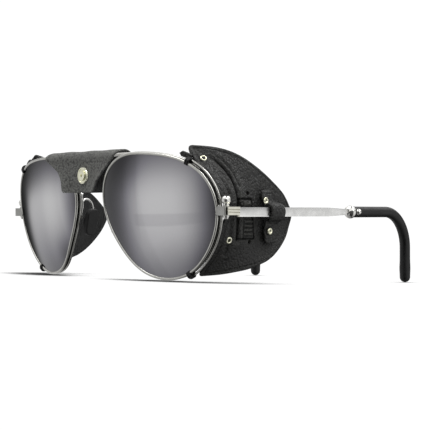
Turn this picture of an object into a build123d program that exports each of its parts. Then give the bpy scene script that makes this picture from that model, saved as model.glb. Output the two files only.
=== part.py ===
from build123d import *
import os
from math import sin, cos, asin, radians, pi, sqrt, hypot

# Glacier glasses with leather side shields and nose leather, in millimetres.
# +X is the wearer's left, +Y runs back along the temples, +Z is up. Pieces are modelled in the
# upright wearing frame, the left of each pair first, and set down at the end so that the two
# rims and the two ear tips stand on the plane Z = 0.

os.makedirs("parts", exist_ok=True)

# ---------------------------------------------------------------- driving dimensions
STAND_TILT = 1.83          # degrees the worn frame leans to stand on rims and ear tips
STAND_RISE = 23.76         # height of the worn frame's origin over the ground
MID_Y = 62.50              # half the depth of the open glasses
FIT = 0.01                 # clearance of pieces that sit tight in their holes

# Rim line as a radius over the angle: mean, then cosine and sine terms of orders 1 to 5
LENS_SHAPE = [26.4022, 0.2929, 1.2035, 2.4773, -1.3425, 0.2481, 1.5584,
              -0.15, -0.2267, 0.0771, 0.2381]
LENS_R = 88.0              # radius of the lens sphere
LENS_X, LENS_Y = 39.58, 1.755
WRAP = 9.32                # face-form angle of each lens
TILT = 9.18                # pantoscopic angle
LENS_T = 1.8

HINGE = (71.28, 12.30)     # x, y of the hinge pin
TOE = 11.9                 # toe-in of the temples
END_Z0, END_Z1 = 0.55, 3.95               # end piece
LEAF_R = 1.30
LEAF_LOW, LEAF_HIGH = 1.70, 2.80          # temple leaf
LEAF_GAP = 0.05
PIN_R = 0.60
PIN_CLEAR = 0.05

BAR_IN, BAR_T = 1.35, 1.4  # inner face of the temple bar out from the hinge pin, bar thickness
BAR_OUT = BAR_IN + BAR_T
BAR_Z0, BAR_Z1 = 0.10, 3.60
AXIS_N, AXIS_Z = BAR_IN + BAR_T / 2, 1.85  # temple axis: out from the pin, height

cos_wrap, sin_wrap = cos(radians(WRAP)), sin(radians(WRAP))
cos_tilt, sin_tilt = cos(radians(TILT)), sin(radians(TILT))
cos_toe, sin_toe = cos(radians(TOE)), sin(radians(TOE))


# ---------------------------------------------------------------- lens frame
def lens_point(out, back, up):
    """Left lens frame (out to the temple, back, up) to the wearing frame."""
    x, y, z = out, back * cos_tilt - up * sin_tilt, back * sin_tilt + up * cos_tilt
    return (x * cos_wrap - y * sin_wrap + LENS_X, x * sin_wrap + y * cos_wrap + LENS_Y, z)


def lens_vector(out, back, up):
    tip, origin = lens_point(out, back, up), lens_point(0, 0, 0)
    return tuple(a - b for a, b in zip(tip, origin))


def outline(angle, offset=0.0):
    """Point of the rim line pushed outwards by offset, and the tangent there, as (out, up)."""
    def on_line(turn):
        radius = LENS_SHAPE[0]
        for k in range(1, 6):
            radius += LENS_SHAPE[2 * k - 1] * cos(k * turn) + LENS_SHAPE[2 * k] * sin(k * turn)
        return radius * cos(turn), radius * sin(turn)

    here, ahead = on_line(angle), on_line(angle + 1e-4)
    step_x, step_y = ahead[0] - here[0], ahead[1] - here[1]
    length = hypot(step_x, step_y)
    tan_x, tan_y = step_x / length, step_y / length
    return (here[0] + offset * tan_y, here[1] - offset * tan_x), (tan_x, tan_y)


def rim_point(angle, offset=0.0, back=0.0):
    """Point beside the rim line on the lens sphere, offset outwards and back."""
    (line_out, line_up), _ = outline(angle)
    (out, up), _ = outline(angle, offset)
    sag = LENS_R - sqrt(LENS_R ** 2 - line_out * line_out - line_up * line_up)
    return lens_point(out, sag + back, up)


def lens_prism(offset):
    """Prism through the lens on the offset rim line, 8 forwards and 16 back."""
    front, rear, count = 8, -16, 24
    points = [(*outline(2 * pi * i / count, offset)[0], 0) for i in range(count)]
    face = make_face(Spline(*points, periodic=True))
    plane = Plane(origin=lens_point(0, 0, 0), x_dir=lens_vector(1, 0, 0),
                  z_dir=lens_vector(0, -1, 0))
    return plane.location * (Pos(0, 0, rear) * extrude(face, amount=front - rear, dir=(0, 0, 1)))


def bowl(front, back, reach=46.0):
    """Spherical layer between two depths about the lens surface."""
    def arc(radius):
        spread = asin(reach / radius)
        return ((0, LENS_R - radius),
                (radius * sin(spread / 2), LENS_R - radius * cos(spread / 2)),
                (reach, LENS_R - radius * cos(spread)))

    outer, inner = arc(LENS_R - front), arc(LENS_R - back)
    profile = make_face(ThreePointArc(*outer) + Line(outer[2], inner[2])
                        + ThreePointArc(*inner[::-1]) + Line(inner[0], outer[0]))
    plane = Plane(origin=lens_point(0, 0, 0), x_dir=lens_vector(1, 0, 0),
                  z_dir=lens_vector(0, 0, 1))
    return plane.location * revolve(profile, axis=Axis.Y)


# ---------------------------------------------------------------- temple frame
# n runs outwards from the hinge pin, s back along the temple
def temple_point(n, s, z):
    return (HINGE[0] + n * cos_toe - s * sin_toe, HINGE[1] + n * sin_toe + s * cos_toe, z)


PLAN = Plane(origin=(*HINGE, 0), x_dir=(cos_toe, sin_toe, 0), z_dir=(0, 0, 1))  # x = n, y = s
ACROSS = Plane(origin=(*HINGE, 0), x_dir=(cos_toe, sin_toe, 0),
               z_dir=(sin_toe, -cos_toe, 0))                          # x = n, y = z, z = -s
SIDE = Plane(origin=(*HINGE, 0), x_dir=(-sin_toe, cos_toe, 0),
             z_dir=(cos_toe, sin_toe, 0))                             # x = s, y = z, z = n


def outward_frame(n, s, z):
    """Location on the temple with local z outwards."""
    return Location(temple_point(n, s, z)) * Rot(Z=TOE) * Rot(Y=90)


# ---------------------------------------------------------------- shape helpers
def polygon(points):
    return make_face(Polyline(*points, close=True))


def rectangle(x0, x1, y0, y1):
    return [(x0, y0), (x1, y0), (x1, y1), (x0, y1)]


def prism(points, low, high):
    """Upright prism over points in x, y."""
    return Pos(0, 0, low) * extrude(polygon(points), amount=high - low, dir=(0, 0, 1))


def temple_prism(points, low, high):
    """Upright prism over points in n, s."""
    return PLAN.location * prism(points, low, high)


def rod(radius, low, high, at=(0, 0)):
    """Cylinder along z."""
    return Pos(*at, (low + high) / 2) * Cylinder(radius, high - low)


def pin_rod(radius, low, high):
    return rod(radius, low, high, HINGE)


def tube(path, radius):
    """Round rod along a path."""
    return sweep(Plane(origin=path @ 0, z_dir=path % 0) * Circle(radius), path=path)


def ribbon(points, thickness, samples=48):
    """Closed face of even thickness along a smooth open line through points."""
    line = Spline(*[(x, y, 0) for x, y in points])
    half = thickness / 2
    left, right = [], []
    for i in range(samples + 1):
        spot, along = line @ (i / samples), line % (i / samples)
        left.append((spot.X - along.Y * half, spot.Y + along.X * half, 0))
        right.append((spot.X + along.Y * half, spot.Y - along.X * half, 0))
    return make_face(Spline(*left) + Line(left[-1], right[-1])
                     + Spline(*right[::-1]) + Line(right[0], left[0]))


def largest(shape):
    return shape.solids().sort_by(SortBy.VOLUME)[-1]


parts = {}


def pair(stem, shape):
    """Left piece as modelled, right piece mirrored across the centre plane."""
    parts[stem + "_left"] = shape
    if len(shape.solids()) > 1:
        mirrored = Compound(children=[mirror(s, about=Plane.YZ) for s in shape.solids()])
    else:
        mirrored = mirror(shape, about=Plane.YZ)
    parts[stem + "_right"] = mirrored


# ---------------------------------------------------------------- lens and eyewire
RIM_HALF = 1.35                     # half depth of the eyewire, front to back
RIM_OUT, RIM_IN = 0.72, -0.62       # outer and inner faces from the rim line
GROOVE_FLOOR, GROOVE_HALF = 0.30, 0.34    # groove round the outside between its two ridges
SEAT_GAP = 0.02

lens = bowl(-LENS_T / 2, LENS_T / 2) & lens_prism(-0.18)
seat = bowl(-LENS_T / 2 - SEAT_GAP, LENS_T / 2 + SEAT_GAP) & lens_prism(-0.16)

rim = bowl(-RIM_HALF, RIM_HALF) & (lens_prism(RIM_OUT) - lens_prism(RIM_IN))
rim = rim - (bowl(-GROOVE_HALF, GROOVE_HALF) & (lens_prism(2.5) - lens_prism(GROOVE_FLOOR)))
rim = rim - seat
pair("rim", rim)
pair("lens", lens)

# ---------------------------------------------------------------- end piece and hinge
LOCK = (69.75, 10.5)                # x, y of the lock screw
LOCK_R, LOCK_FOOT = 0.45, 1.2
BALL_R, BALL_Z = 1.8, 6.25


def arc_points(centre, radius, start, end, count):
    turns = [radians(start + (end - start) * i / count) for i in range(count + 1)]
    return [(centre[0] + radius * cos(t), centre[1] + radius * sin(t)) for t in turns]


def make_end_piece():
    points = ([(67.75, 9.9), (73.2, 9.75)] + arc_points((73.25, 10.15), 0.4, -90, 30, 6)
              + [(72.75, 11.0)] + arc_points(HINGE, LEAF_R, -25, 120, 14)
              + [(69.9, 12.95), (68.3, 12.95), (67.55, 11.9)])
    slot_low, slot_high = LEAF_LOW - LEAF_GAP, LEAF_HIGH + LEAF_GAP
    body = prism(points, END_Z0, END_Z1)
    body = body - pin_rod(LEAF_R + 0.12, slot_low, slot_high)
    body = body - temple_prism(rectangle(-0.2, 3.5, -0.85, 3), slot_low, slot_high)
    body = body - pin_rod(PIN_R + FIT, END_Z0 - 1, END_Z1 + 1)
    body = body - rod(LOCK_R, LOCK_FOOT, 6, LOCK)
    return largest(body - rim - seat)


def make_lock_screw():
    screw = rod(LOCK_R, LOCK_FOOT, 4.0, LOCK) + rod(0.6, END_Z1, END_Z1 + 0.5, LOCK)
    return screw - Pos(*LOCK, END_Z1 + 0.45) * Box(2.4, 0.28, 0.5)


def make_hinge_screw():
    """Ball-headed screw; the ball is flattened above and below and slotted."""
    ball = Pos(*HINGE, BALL_Z) * Sphere(BALL_R)
    ball = ball & Pos(*HINGE, BALL_Z + 0.02) * Cylinder(3, 2.75)
    screw = ball + pin_rod(1.15, END_Z1, 5.2) + pin_rod(PIN_R, -0.25, END_Z1 + 0.1)
    return screw - Pos(*HINGE, 7.5) * Rot(Z=35) * Box(6, 0.55, 1.5)


def make_hinge_nut(height=1.3):
    """Cone that widens up to the underside of the end piece."""
    cone = Pos(*HINGE, END_Z0 - height / 2) * Cone(0.75, 1.3, height)
    return cone - pin_rod(PIN_R + FIT, -3, END_Z0 + 0.5)


end_piece = make_end_piece()
pair("end_piece", end_piece)
pair("lock_screw", make_lock_screw())
pair("hinge_screw", make_hinge_screw())
pair("hinge_nut", make_hinge_nut())

# ---------------------------------------------------------------- shield wires and hooks
WIRE_R, WIRE_OUT, WIRE_BACK = 0.42, 1.42, 0.42      # radius, offsets from the rim line
HOOK_TOP, HOOK_LOW = 47.0, -58.5    # degrees round the rim, 0 towards the temple, 90 up
HOOK_T, HOOK_HALF_WIDTH = 0.42, 0.7
# Centre line of the hook strip: outwards, back
HOOK_LINE = [(-0.45, -1.75), (0.9, -1.95), (2.15, -1.2), (2.45, 0.2),
             (2.2, 1.6), (1.0, 1.95), (-0.2, 1.75)]


def make_wire(start, end, count=14):
    """Wire beside the rim between two angles, soldered into the end piece."""
    angles = [radians(start + (end - start) * i / count) for i in range(count + 1)]
    line = Spline(*[rim_point(angle, WIRE_OUT, WIRE_BACK) for angle in angles])
    return largest(tube(line, WIRE_R) - end_piece)


def make_hook(angle):
    """Bent strip hooked over eyewire and shield wire, open towards the lens."""
    _, (tan_x, tan_y) = outline(angle)
    outwards, back = lens_vector(tan_y, 0, -tan_x), lens_vector(0, 1, 0)
    section = Plane(origin=rim_point(angle), x_dir=outwards,
                    z_dir=Vector(*outwards).cross(Vector(*back)))
    return section * extrude(ribbon(HOOK_LINE, HOOK_T), amount=HOOK_HALF_WIDTH, both=True)


wire_upper = make_wire(HOOK_TOP + 1.5, 5.0)
wire_lower = make_wire(HOOK_LOW - 1.5, 0.5)
hook_top, hook_low = make_hook(radians(HOOK_TOP)), make_hook(radians(HOOK_LOW))
pair("shield_wire_upper", wire_upper)
pair("shield_wire_lower", wire_lower)
pair("shield_hook_top", hook_top - wire_upper)
pair("shield_hook_low", hook_low - wire_lower)

# ---------------------------------------------------------------- brow bar, nose leather, snap
BROW_Y, BROW_Z, BROW_R, BROW_LEN = 0.3, 24.2, 0.65, 58
FOLD_Y, FOLD_Z, FOLD_R = 0.19, 23.15, 3.08          # fold of the leather over the brow bar
FOLD_WIDTH, LEATHER_T = 49, 1.15
SNAP_Z = 16.45
SNAP_FRONT, SNAP_BACK = FOLD_Y - FOLD_R, FOLD_Y + FOLD_R    # outer faces of the leather
# Half outlines of the two flaps: x, z
FLAP_TOP = [(15.3, 18.0), (18.2, 20.0), (21.5, 22.0), (23.2, 23.2), (23.6, 24.2), (23.6, 27.5)]
HALF_FRONT = [(0, 9.7), (9.4, 9.7), (10.4, 10.2), (10.9, 11.3), (11.8, 13.7),
              (13.0, 15.5)] + FLAP_TOP
HALF_BACK = [(0, 9.7), (6.6, 9.7), (7.4, 10.1), (8.2, 11.3), (10.0, 13.6),
             (12.2, 15.5)] + FLAP_TOP


def make_brow_bar():
    bar = Pos(0, BROW_Y, BROW_Z) * Rot(Y=90) * Cylinder(BROW_R, BROW_LEN)
    return largest(bar - rim - mirror(rim, about=Plane.YZ))


def fold_body(radius, width, drop):
    """Half-round top with straight sides hanging below it."""
    return (Pos(0, FOLD_Y, FOLD_Z) * Rot(Y=90) * Cylinder(radius, width)
            + Pos(0, FOLD_Y, FOLD_Z - drop / 2) * Box(width, 2 * radius, drop))


def flap(half, amount):
    """Flap outline extruded forwards, or backwards where amount is negative."""
    points = half + [(-x, z) for x, z in half[:0:-1]]
    return extrude(Plane.XZ * polygon(points), amount=amount)


def snap_disc(radius, length, y):
    return Pos(0, y, SNAP_Z) * Rot(X=90) * Cylinder(radius, length)


def make_nose_leather():
    fold = fold_body(FOLD_R, FOLD_WIDTH, 16) - fold_body(FOLD_R - LEATHER_T, FOLD_WIDTH + 1, 18)
    leather = fold & (flap(HALF_FRONT, 8) + flap(HALF_BACK, -8))
    for side in (-1, 1):            # the back flap is skived where it passes the eyewires
        leather = leather - Pos(side * 12.0, 2.25, 14.0) * Box(9.0, 0.7, 8.0)
    return leather - snap_disc(1.25, 12, FOLD_Y)


def make_snap_cap():
    """Front disc with a raised centre, a ring groove, a middle dimple and a post."""
    raised_y, raised_r = SNAP_FRONT - 0.75, 2.1
    cap = (snap_disc(3.2, 0.6, SNAP_FRONT - 0.3)
           + snap_disc(1.22, 2 * FOLD_R + 0.1, FOLD_Y)
           + snap_disc(raised_r, 0.5, raised_y))
    cap = cap - (snap_disc(2.75, 0.7, raised_y) - snap_disc(raised_r, 0.7, raised_y))
    return cap - snap_disc(0.55, 1.2, SNAP_FRONT - 0.9)


parts["brow_bar"] = make_brow_bar()
parts["nose_leather"] = make_nose_leather()
parts["snap_cap"] = make_snap_cap()
parts["snap_back"] = snap_disc(2.6, 0.9, SNAP_BACK + 0.45) - snap_disc(1.25, 0.3, SNAP_BACK)

# ---------------------------------------------------------------- nose pads and their arms
PAD_H, PAD_W, PAD_T = 10.8, 6.6, 2.1
PAD_PIN_R, PAD_PIN_X = 0.45, 2.15
ARM_R = 0.45
# Pad frame: local -x faces the nose, y back, z up
PAD_FRAME = Location((9.9, 7.3, -1.9)) * Rot(Z=-18) * Rot(Y=-10)
# Centre lines in x, y, z: the foot down the eyewire, and the loop back to the pad's pin
FOOT = [(10.05, 2.75, 9.6), (9.95, 3.1, 6.6), (10.3, 3.35, 3.2), (10.9, 3.4, 0.6),
        (10.9, 3.75, -0.3)]
LOOP = [(9.95, 3.2, 6.2), (10.2, 4.4, 7.15), (10.7, 6.4, 7.2), (11.6, 8.6, 6.0),
        (12.3, 9.7, 3.6)]


def make_nose_pad():
    pad = Box(PAD_T, PAD_W, PAD_H)
    pad = fillet(pad.edges().filter_by(Axis.X), 2.7)
    faces = pad.faces().sort_by(Axis.X)
    pad = fillet(faces[0].edges() + faces[-1].edges(), 0.6)
    pad = pad + Pos(1.6, 0, 0) * Box(2.5, 2.2, 2.6)
    pad = pad - Pos(PAD_PIN_X, 0, 0) * Rot(X=90) * Cylinder(PAD_PIN_R + 0.05, 8)
    return PAD_FRAME * pad


def make_pad_arm():
    pin = PAD_FRAME * (Pos(PAD_PIN_X, 0.6, 0) * Rot(X=90) * Cylinder(PAD_PIN_R, 4.2))
    knee = tuple((PAD_FRAME * Pos(PAD_PIN_X, 2.6, 0)).position)
    above_knee = (knee[0] + 0.25, knee[1] + 0.25, knee[2] + 1.4)
    arm = (tube(Spline(*FOOT), ARM_R) + tube(Spline(*LOOP, above_knee, knee), ARM_R)
           + pin + Pos(*knee) * Sphere(ARM_R))
    arm = arm + Pos(10.05, 2.6, 9.3) * Rot(X=80) * Cylinder(0.62, 1.4)   # boss at the foot's top
    return arm - rim - seat


pair("pad_arm", make_pad_arm())
pair("nose_pad", make_nose_pad())

# ---------------------------------------------------------------- temple, ferrule, ear sleeve
BLOCK_Z0, BLOCK_Z1 = 0.70, 3.75
BLOCK_END = 4.6
CORE_S, CORE_R = 72.0, 0.8          # start and radius of the core wire
BEND_S, BEND_R = 101.3, 15.0
TIP_S, TIP_Z = BEND_S + BEND_R, -27.8
CORE_END_Z = TIP_Z + 5
FERRULE_S = 76.0
SLEEVE_S, SLEEVE_R = FERRULE_S + 0.92, 2.2
# Ferrule: radius, distance back along the temple
FERRULE_PROFILE = [(0.82, -1.9), (1.3, -1.9), (1.75, -1.55), (2.45, -0.9), (2.65, -0.2),
                   (2.6, 0.35), (2.3, 0.9), (0.82, 0.9)]


def core_path(start, end_z):
    """Temple axis: back, round the ear bend and down."""
    bend_start = temple_point(AXIS_N, BEND_S, AXIS_Z)
    bend_middle = temple_point(AXIS_N, BEND_S + BEND_R * sin(pi / 4),
                               AXIS_Z - BEND_R + BEND_R * cos(pi / 4))
    bend_end = temple_point(AXIS_N, TIP_S, AXIS_Z - BEND_R)
    return (Line(temple_point(AXIS_N, start, AXIS_Z), bend_start)
            + ThreePointArc(bend_start, bend_middle, bend_end)
            + Line(bend_end, temple_point(AXIS_N, TIP_S, end_z)))


def bar_section(s, height, thickness):
    frame = Pos(*temple_point(AXIS_N, s, AXIS_Z)) * Rot(Z=TOE) * Rot(X=90)
    return frame * Rectangle(thickness, height)


def make_temple():
    bore = PIN_R + PIN_CLEAR
    block = temple_prism([(BAR_IN, -0.92), (2.6, -2.4), (2.8, -2.3), (2.9, -2.0),
                          (2.9, BLOCK_END), (BAR_IN, BLOCK_END)], BLOCK_Z0, BLOCK_Z1)
    for z in (1.72, 2.73):          # two grooves along the outer face
        block = block - temple_prism(rectangle(2.78, 3.2, -3, 4.3), z - 0.09, z + 0.09)
    leaf = pin_rod(LEAF_R, LEAF_LOW, LEAF_HIGH) + temple_prism(
        rectangle(0, BAR_IN + 0.2, -0.6, LEAF_R), LEAF_LOW, LEAF_HIGH)
    leaf = leaf - pin_rod(bore, -1, 6)
    bar = temple_prism(rectangle(BAR_IN, BAR_OUT, 4.4, 60.1), BAR_Z0, BAR_Z1)
    taper = loft([bar_section(60, BAR_Z1 - BAR_Z0, BAR_T), bar_section(72.5, 2.3, 1.7)])
    temple = block + leaf + bar + taper + tube(core_path(CORE_S, CORE_END_Z), CORE_R)
    temple = temple - pin_rod(LEAF_R + 0.05, LEAF_HIGH, 8)
    temple = temple - pin_rod(LEAF_R + 0.05, -3, LEAF_LOW)
    return temple - pin_rod(bore, -1, 6)


def make_ferrule():
    """Turned collar with a rectangular recess in its front end."""
    frame = Location(temple_point(AXIS_N, FERRULE_S, AXIS_Z)) * Rot(Z=TOE) * Rot(X=-90)
    turned = revolve(Plane.XZ * polygon(FERRULE_PROFILE), axis=Axis.Z)
    return frame * (turned - Pos(0, 0, -2.6) * Box(1.75, 2.4, 2.4))


def rivet_solids(fit=0.0):
    """Shank and domed head of the sleeve rivet, grown by fit for their holes."""
    shank = rod(0.6 + fit, 0.85 - 2 * fit, 3.05 + 2 * fit)
    dome = Sphere(1.25 + fit) & Pos(0, 0, 0.75 - fit / 2) * Box(3, 3, 1.5 + fit)
    return shank, Pos(0, 0, 2.1) * dome


def make_sleeve(rivet_frame):
    sleeve = tube(core_path(SLEEVE_S, TIP_Z + SLEEVE_R), SLEEVE_R)
    sleeve = sleeve + Pos(*temple_point(AXIS_N, TIP_S, TIP_Z + SLEEVE_R)) * Sphere(SLEEVE_R)
    sleeve = sleeve - tube(core_path(CORE_S, CORE_END_Z - 0.05), CORE_R + FIT)
    for hole in rivet_solids(FIT):
        sleeve = sleeve - rivet_frame * hole
    return sleeve


sleeve_rivet_frame = outward_frame(AXIS_N, FERRULE_S + 2.8, AXIS_Z)
rivet_shank, rivet_dome = rivet_solids()
pair("temple", make_temple())
pair("ferrule", make_ferrule())
pair("ear_sleeve", make_sleeve(sleeve_rivet_frame))
pair("sleeve_rivet", sleeve_rivet_frame * (rivet_shank + rivet_dome))

# ---------------------------------------------------------------- side shield surface
SHIELD_T = 1.6
# Outer face in x, y, z; rows run front to back, from the top edge down to the bottom edge
NET = [
    [(54.0, 8.5, 26.2), (60.0, 15.0, 25.4), (64.2, 24.0, 22.0), (65.8, 34.5, 16.0),
     (65.2, 44.5, 9.6)],
    [(60.6, 9.3, 19.6), (64.4, 17.0, 18.2), (66.4, 26.0, 15.4), (66.2, 36.0, 11.2),
     (64.7, 47.2, 7.0)],
    [(68.1, 13.2, 9.4), (68.0, 20.0, 9.4), (67.0, 29.0, 8.0), (65.6, 39.0, 6.0),
     (64.0, 49.6, 4.0)],
    [(68.8, 15.3, 2.0), (68.0, 22.0, 1.8), (66.3, 31.0, 1.4), (64.9, 41.0, 1.0),
     (63.4, 51.2, 0.6)],
    [(67.7, 15.0, -4.6), (67.3, 21.5, -5.0), (66.1, 30.0, -5.2), (65.0, 39.5, -4.6),
     (63.7, 49.6, -3.6)],
    [(64.2, 14.8, -13.0), (65.4, 20.6, -12.8), (65.8, 27.5, -12.0), (65.6, 36.0, -10.2),
     (64.8, 45.4, -8.0)],
    [(55.2, 13.9, -21.6), (60.8, 18.0, -21.0), (64.2, 24.5, -19.4), (65.7, 31.0, -17.4),
     (65.6, 38.2, -14.4)],
]


def cubic_value(values, fraction):
    """Natural cubic through equally spaced values, at a fraction of its length."""
    last = len(values) - 1
    bend, ratio, part = ([0.0] * (last + 1) for _ in range(3))
    for i in range(1, last):
        load = 6 * (values[i + 1] - 2 * values[i] + values[i - 1])
        pivot = 4 - ratio[i - 1]
        ratio[i] = 1 / pivot
        part[i] = (load - part[i - 1]) / pivot
    for i in range(last - 1, 0, -1):
        bend[i] = part[i] - ratio[i] * bend[i + 1]
    place = min(max(fraction, 0.0), 1.0) * last
    i = min(int(place), last - 1)
    after = place - i
    before = 1 - after
    return (before * values[i] + after * values[i + 1]
            + ((before ** 3 - before) * bend[i] + (after ** 3 - after) * bend[i + 1]) / 6)


def cubic_point(points, fraction):
    return tuple(cubic_value(axis, fraction) for axis in zip(*points))


def shield_point(down, back):
    """Outer face at fractions down from the top edge and back from the front edge."""
    return cubic_point([cubic_point(row, back) for row in NET], down)


def shield_frame(y, z):
    """Location on the outer face nearest a depth and height, local z outwards."""
    def miss(i, j):
        point = shield_point(i / 80, j / 60)
        return (point[1] - y) ** 2 + (point[2] - z) ** 2

    _, i, j = min((miss(i, j), i, j) for i in range(81) for j in range(61))
    down, back, step = i / 80, j / 60, 1e-3
    along_down = (Vector(*shield_point(min(down + step, 1), back))
                  - Vector(*shield_point(max(down - step, 0), back)))
    along_back = (Vector(*shield_point(down, min(back + step, 1)))
                  - Vector(*shield_point(down, max(back - step, 0))))
    normal = along_down.cross(along_back).normalized()
    if normal.X <= 0:
        normal = normal * -1
    return Plane(origin=shield_point(down, back), z_dir=normal).location


# ---------------------------------------------------------------- side shield, eyelets, strap
EYELETS = [(10.3, 21.7), (17.3, -8.7)]              # y, z
SMALL_HOLES = [(25.9, 8.9), (27.5, -9.3)]           # y, z
EYELET_OUT, EYELET_IN = 1.25, 0.62
LOOP_RIVETS = [(21.0, 6.1), (23.4, -5.4)]           # s, z
STRAP_START, STRAP_END, STRAP_T = 18.4, 30.0, 1.2
# Centre line of the strap over the temple bar: n, z
STRAP_LINE = [(1.05, 10.6), (1.15, 7.4), (1.6, 5.3), (3.0, 4.55), (3.62, 3.4), (3.72, 1.85),
              (3.62, 0.3), (3.0, -0.9), (1.6, -1.7), (1.15, -3.8), (1.15, -7.0), (1.0, -10.4)]
# Side outline of the strap: s, z
STRAP_FORM = [(18.7, 8.3), (20.0, 10.1), (22.3, 10.7), (24.3, 9.8), (24.9, 6.6), (26.5, 5.6),
              (29.4, 4.9), (29.6, -1.0), (28.7, -4.5), (28.4, -8.4), (26.7, -10.3),
              (23.2, -10.2), (20.8, -8.2), (20.3, -3.5), (20.9, -1.2), (20.9, 4.6), (19.2, 5.8)]

eyelet_frames = [shield_frame(y, z) for y, z in EYELETS]
loop_rivet_frames = [outward_frame(0, s, z) for s, z in LOOP_RIVETS]


def make_eyelet(frame):
    """Barrel through the leather with a flange on each face."""
    body = (rod(EYELET_OUT, 0, 0.5) + rod(EYELET_IN + 0.25, -SHIELD_T - 0.2, 0.2)
            + rod(EYELET_OUT, -SHIELD_T - 0.55, -SHIELD_T - 0.05))
    return frame * (body - rod(EYELET_IN, -4, 2))


def make_shield():
    grid = [[Vector(*shield_point(i / 18, j / 12)) for j in range(13)] for i in range(19)]
    skin = Face.make_surface_from_array_of_points(grid, tol=0.02, smoothing=None,
                                                  min_deg=3, max_deg=5)
    faces_out = skin.normal_at(skin.center()).X > 0
    shield = Solid.thicken(skin, -SHIELD_T if faces_out else SHIELD_T)
    land_r = EYELET_OUT + 0.05
    for frame in eyelet_frames:
        shield = shield - frame * rod(EYELET_IN + 0.26, -4, 2)
        shield = shield - frame * (rod(land_r, -0.01, 0.51)
                                   + rod(land_r, -SHIELD_T - 0.56, -SHIELD_T - 0.04))
    for y, z in SMALL_HOLES:
        shield = shield - shield_frame(y, z) * Cylinder(0.45, 6)
    for frame in loop_rivet_frames:
        shield = shield - frame * Cylinder(0.95, 9) - frame * rod(1.6, -6.25, -2.25)
    # room round hinge, end piece and hooks
    shield = shield - pin_rod(3.0, -1.0, 5.0) - prism(rectangle(60, 75, 5, 14.0), -0.4, 4.8)
    return shield - hook_top - hook_low


def make_strap():
    band = ACROSS.location * extrude(ribbon(STRAP_LINE, STRAP_T),
                                     amount=STRAP_END - STRAP_START, dir=(0, 0, -1))
    strap = Pos(-STRAP_START * sin_toe, STRAP_START * cos_toe, 0) * band
    strap = strap - temple_prism(rectangle(BAR_IN - 0.1, BAR_OUT + 0.02, 0, 40),
                                 BAR_Z0 - 0.05, BAR_Z1 + 0.05)
    strap = strap & SIDE.location * extrude(polygon(STRAP_FORM), amount=12, both=True)
    for frame in loop_rivet_frames:
        strap = strap - frame * rod(1.36, 1.7, 2.7) - frame * Cylinder(0.72, 8)
    return strap


def make_loop_rivet(frame):
    """Dimpled outer head, two-part shank and inner head."""
    body = rod(1.3, 1.7, 2.3) + rod(0.7, -1.8, 1.8) + rod(1.4, -2.85, -2.35)
    return frame * (body + rod(0.7, -2.6, -0.6) - rod(0.6, 2.1, 2.7))


pair("side_shield", make_shield())
pair("shield_eyelets", Compound(children=[make_eyelet(frame) for frame in eyelet_frames]))
pair("loop_strap", make_strap())
pair("loop_rivets", Compound(children=[make_loop_rivet(frame) for frame in loop_rivet_frames]))

# ---------------------------------------------------------------- stand and export
STAND = Pos(0, -MID_Y, STAND_RISE) * Rot(X=STAND_TILT)
for name, shape in parts.items():
    placed = STAND * shape
    placed.label = name
    export_step(placed, "parts/" + name + ".step")
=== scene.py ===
"""Mirrored sunglasses with leather side shields and a leather nose cover, on a white sweep.

Pieces are drawn in the wearing frame in mm: +X to the wearer's left, +Y from the lenses
back to the ears, +Z up. stand() turns that frame into the scene's metres, with the
glasses resting on the ground. Left pieces are drawn first and right ones are mirrored in X.
"""
import math

import bmesh
import bpy
import numpy as np
from mathutils import Matrix, Vector


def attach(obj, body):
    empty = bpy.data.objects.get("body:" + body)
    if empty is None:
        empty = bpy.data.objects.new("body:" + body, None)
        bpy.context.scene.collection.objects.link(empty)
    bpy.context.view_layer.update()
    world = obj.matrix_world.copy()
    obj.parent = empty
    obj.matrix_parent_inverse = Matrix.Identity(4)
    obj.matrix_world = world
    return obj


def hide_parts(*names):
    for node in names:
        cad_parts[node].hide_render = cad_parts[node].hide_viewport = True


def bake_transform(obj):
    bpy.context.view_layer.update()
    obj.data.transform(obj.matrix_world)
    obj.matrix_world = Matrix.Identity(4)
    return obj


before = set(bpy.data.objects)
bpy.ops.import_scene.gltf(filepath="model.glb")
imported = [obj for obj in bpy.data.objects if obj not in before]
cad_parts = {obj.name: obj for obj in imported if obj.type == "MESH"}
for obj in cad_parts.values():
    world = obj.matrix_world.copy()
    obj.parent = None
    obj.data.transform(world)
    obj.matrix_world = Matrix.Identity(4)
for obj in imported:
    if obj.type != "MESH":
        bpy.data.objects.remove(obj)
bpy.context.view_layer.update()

# ---------------------------------------------------------------- driving sizes (mm)
STAND_TILT = math.radians(1.83)     # lean of the resting glasses about X
STAND_RISE, MID_Y = 23.76, 62.50    # wearing frame's height over the ground, and its middle

# Lens outline as a radius: mean, then cosine and sine terms of harmonics 1 to 5
OUTLINE = [26.4022, 0.2929, 1.2035, 2.4773, -1.3425, 0.2481, 1.5584, -0.15, -0.2267, 0.0771,
           0.2381]
LENS_R = 88.0                       # radius of the spherical lens, at mid-thickness
LENS_X, LENS_Y = 39.58, 1.755
WRAP, TILT = math.radians(9.32), math.radians(9.18)

TEMPLE_X, TEMPLE_Y, TOE_IN = 71.28, 12.30, math.radians(11.9)
AXIS_OUT, AXIS_Z = 2.05, 1.85       # centre line of the temple, from its origin
BEND_START, BEND_R, TIP_Z = 101.3, 15.0, -27.8

SIDES = ((1, "left"), (-1, "right"))


# ---------------------------------------------------------------- frames of reference
def stand(points):
    """Wearing frame in mm to scene in metres."""
    points = np.asarray(points, float)
    x, y, z = points[..., 0], points[..., 1], points[..., 2]
    cos, sin = math.cos(STAND_TILT), math.sin(STAND_TILT)
    return np.stack([x, y * cos - z * sin - MID_Y, y * sin + z * cos + STAND_RISE], -1) / 1000.0


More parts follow.
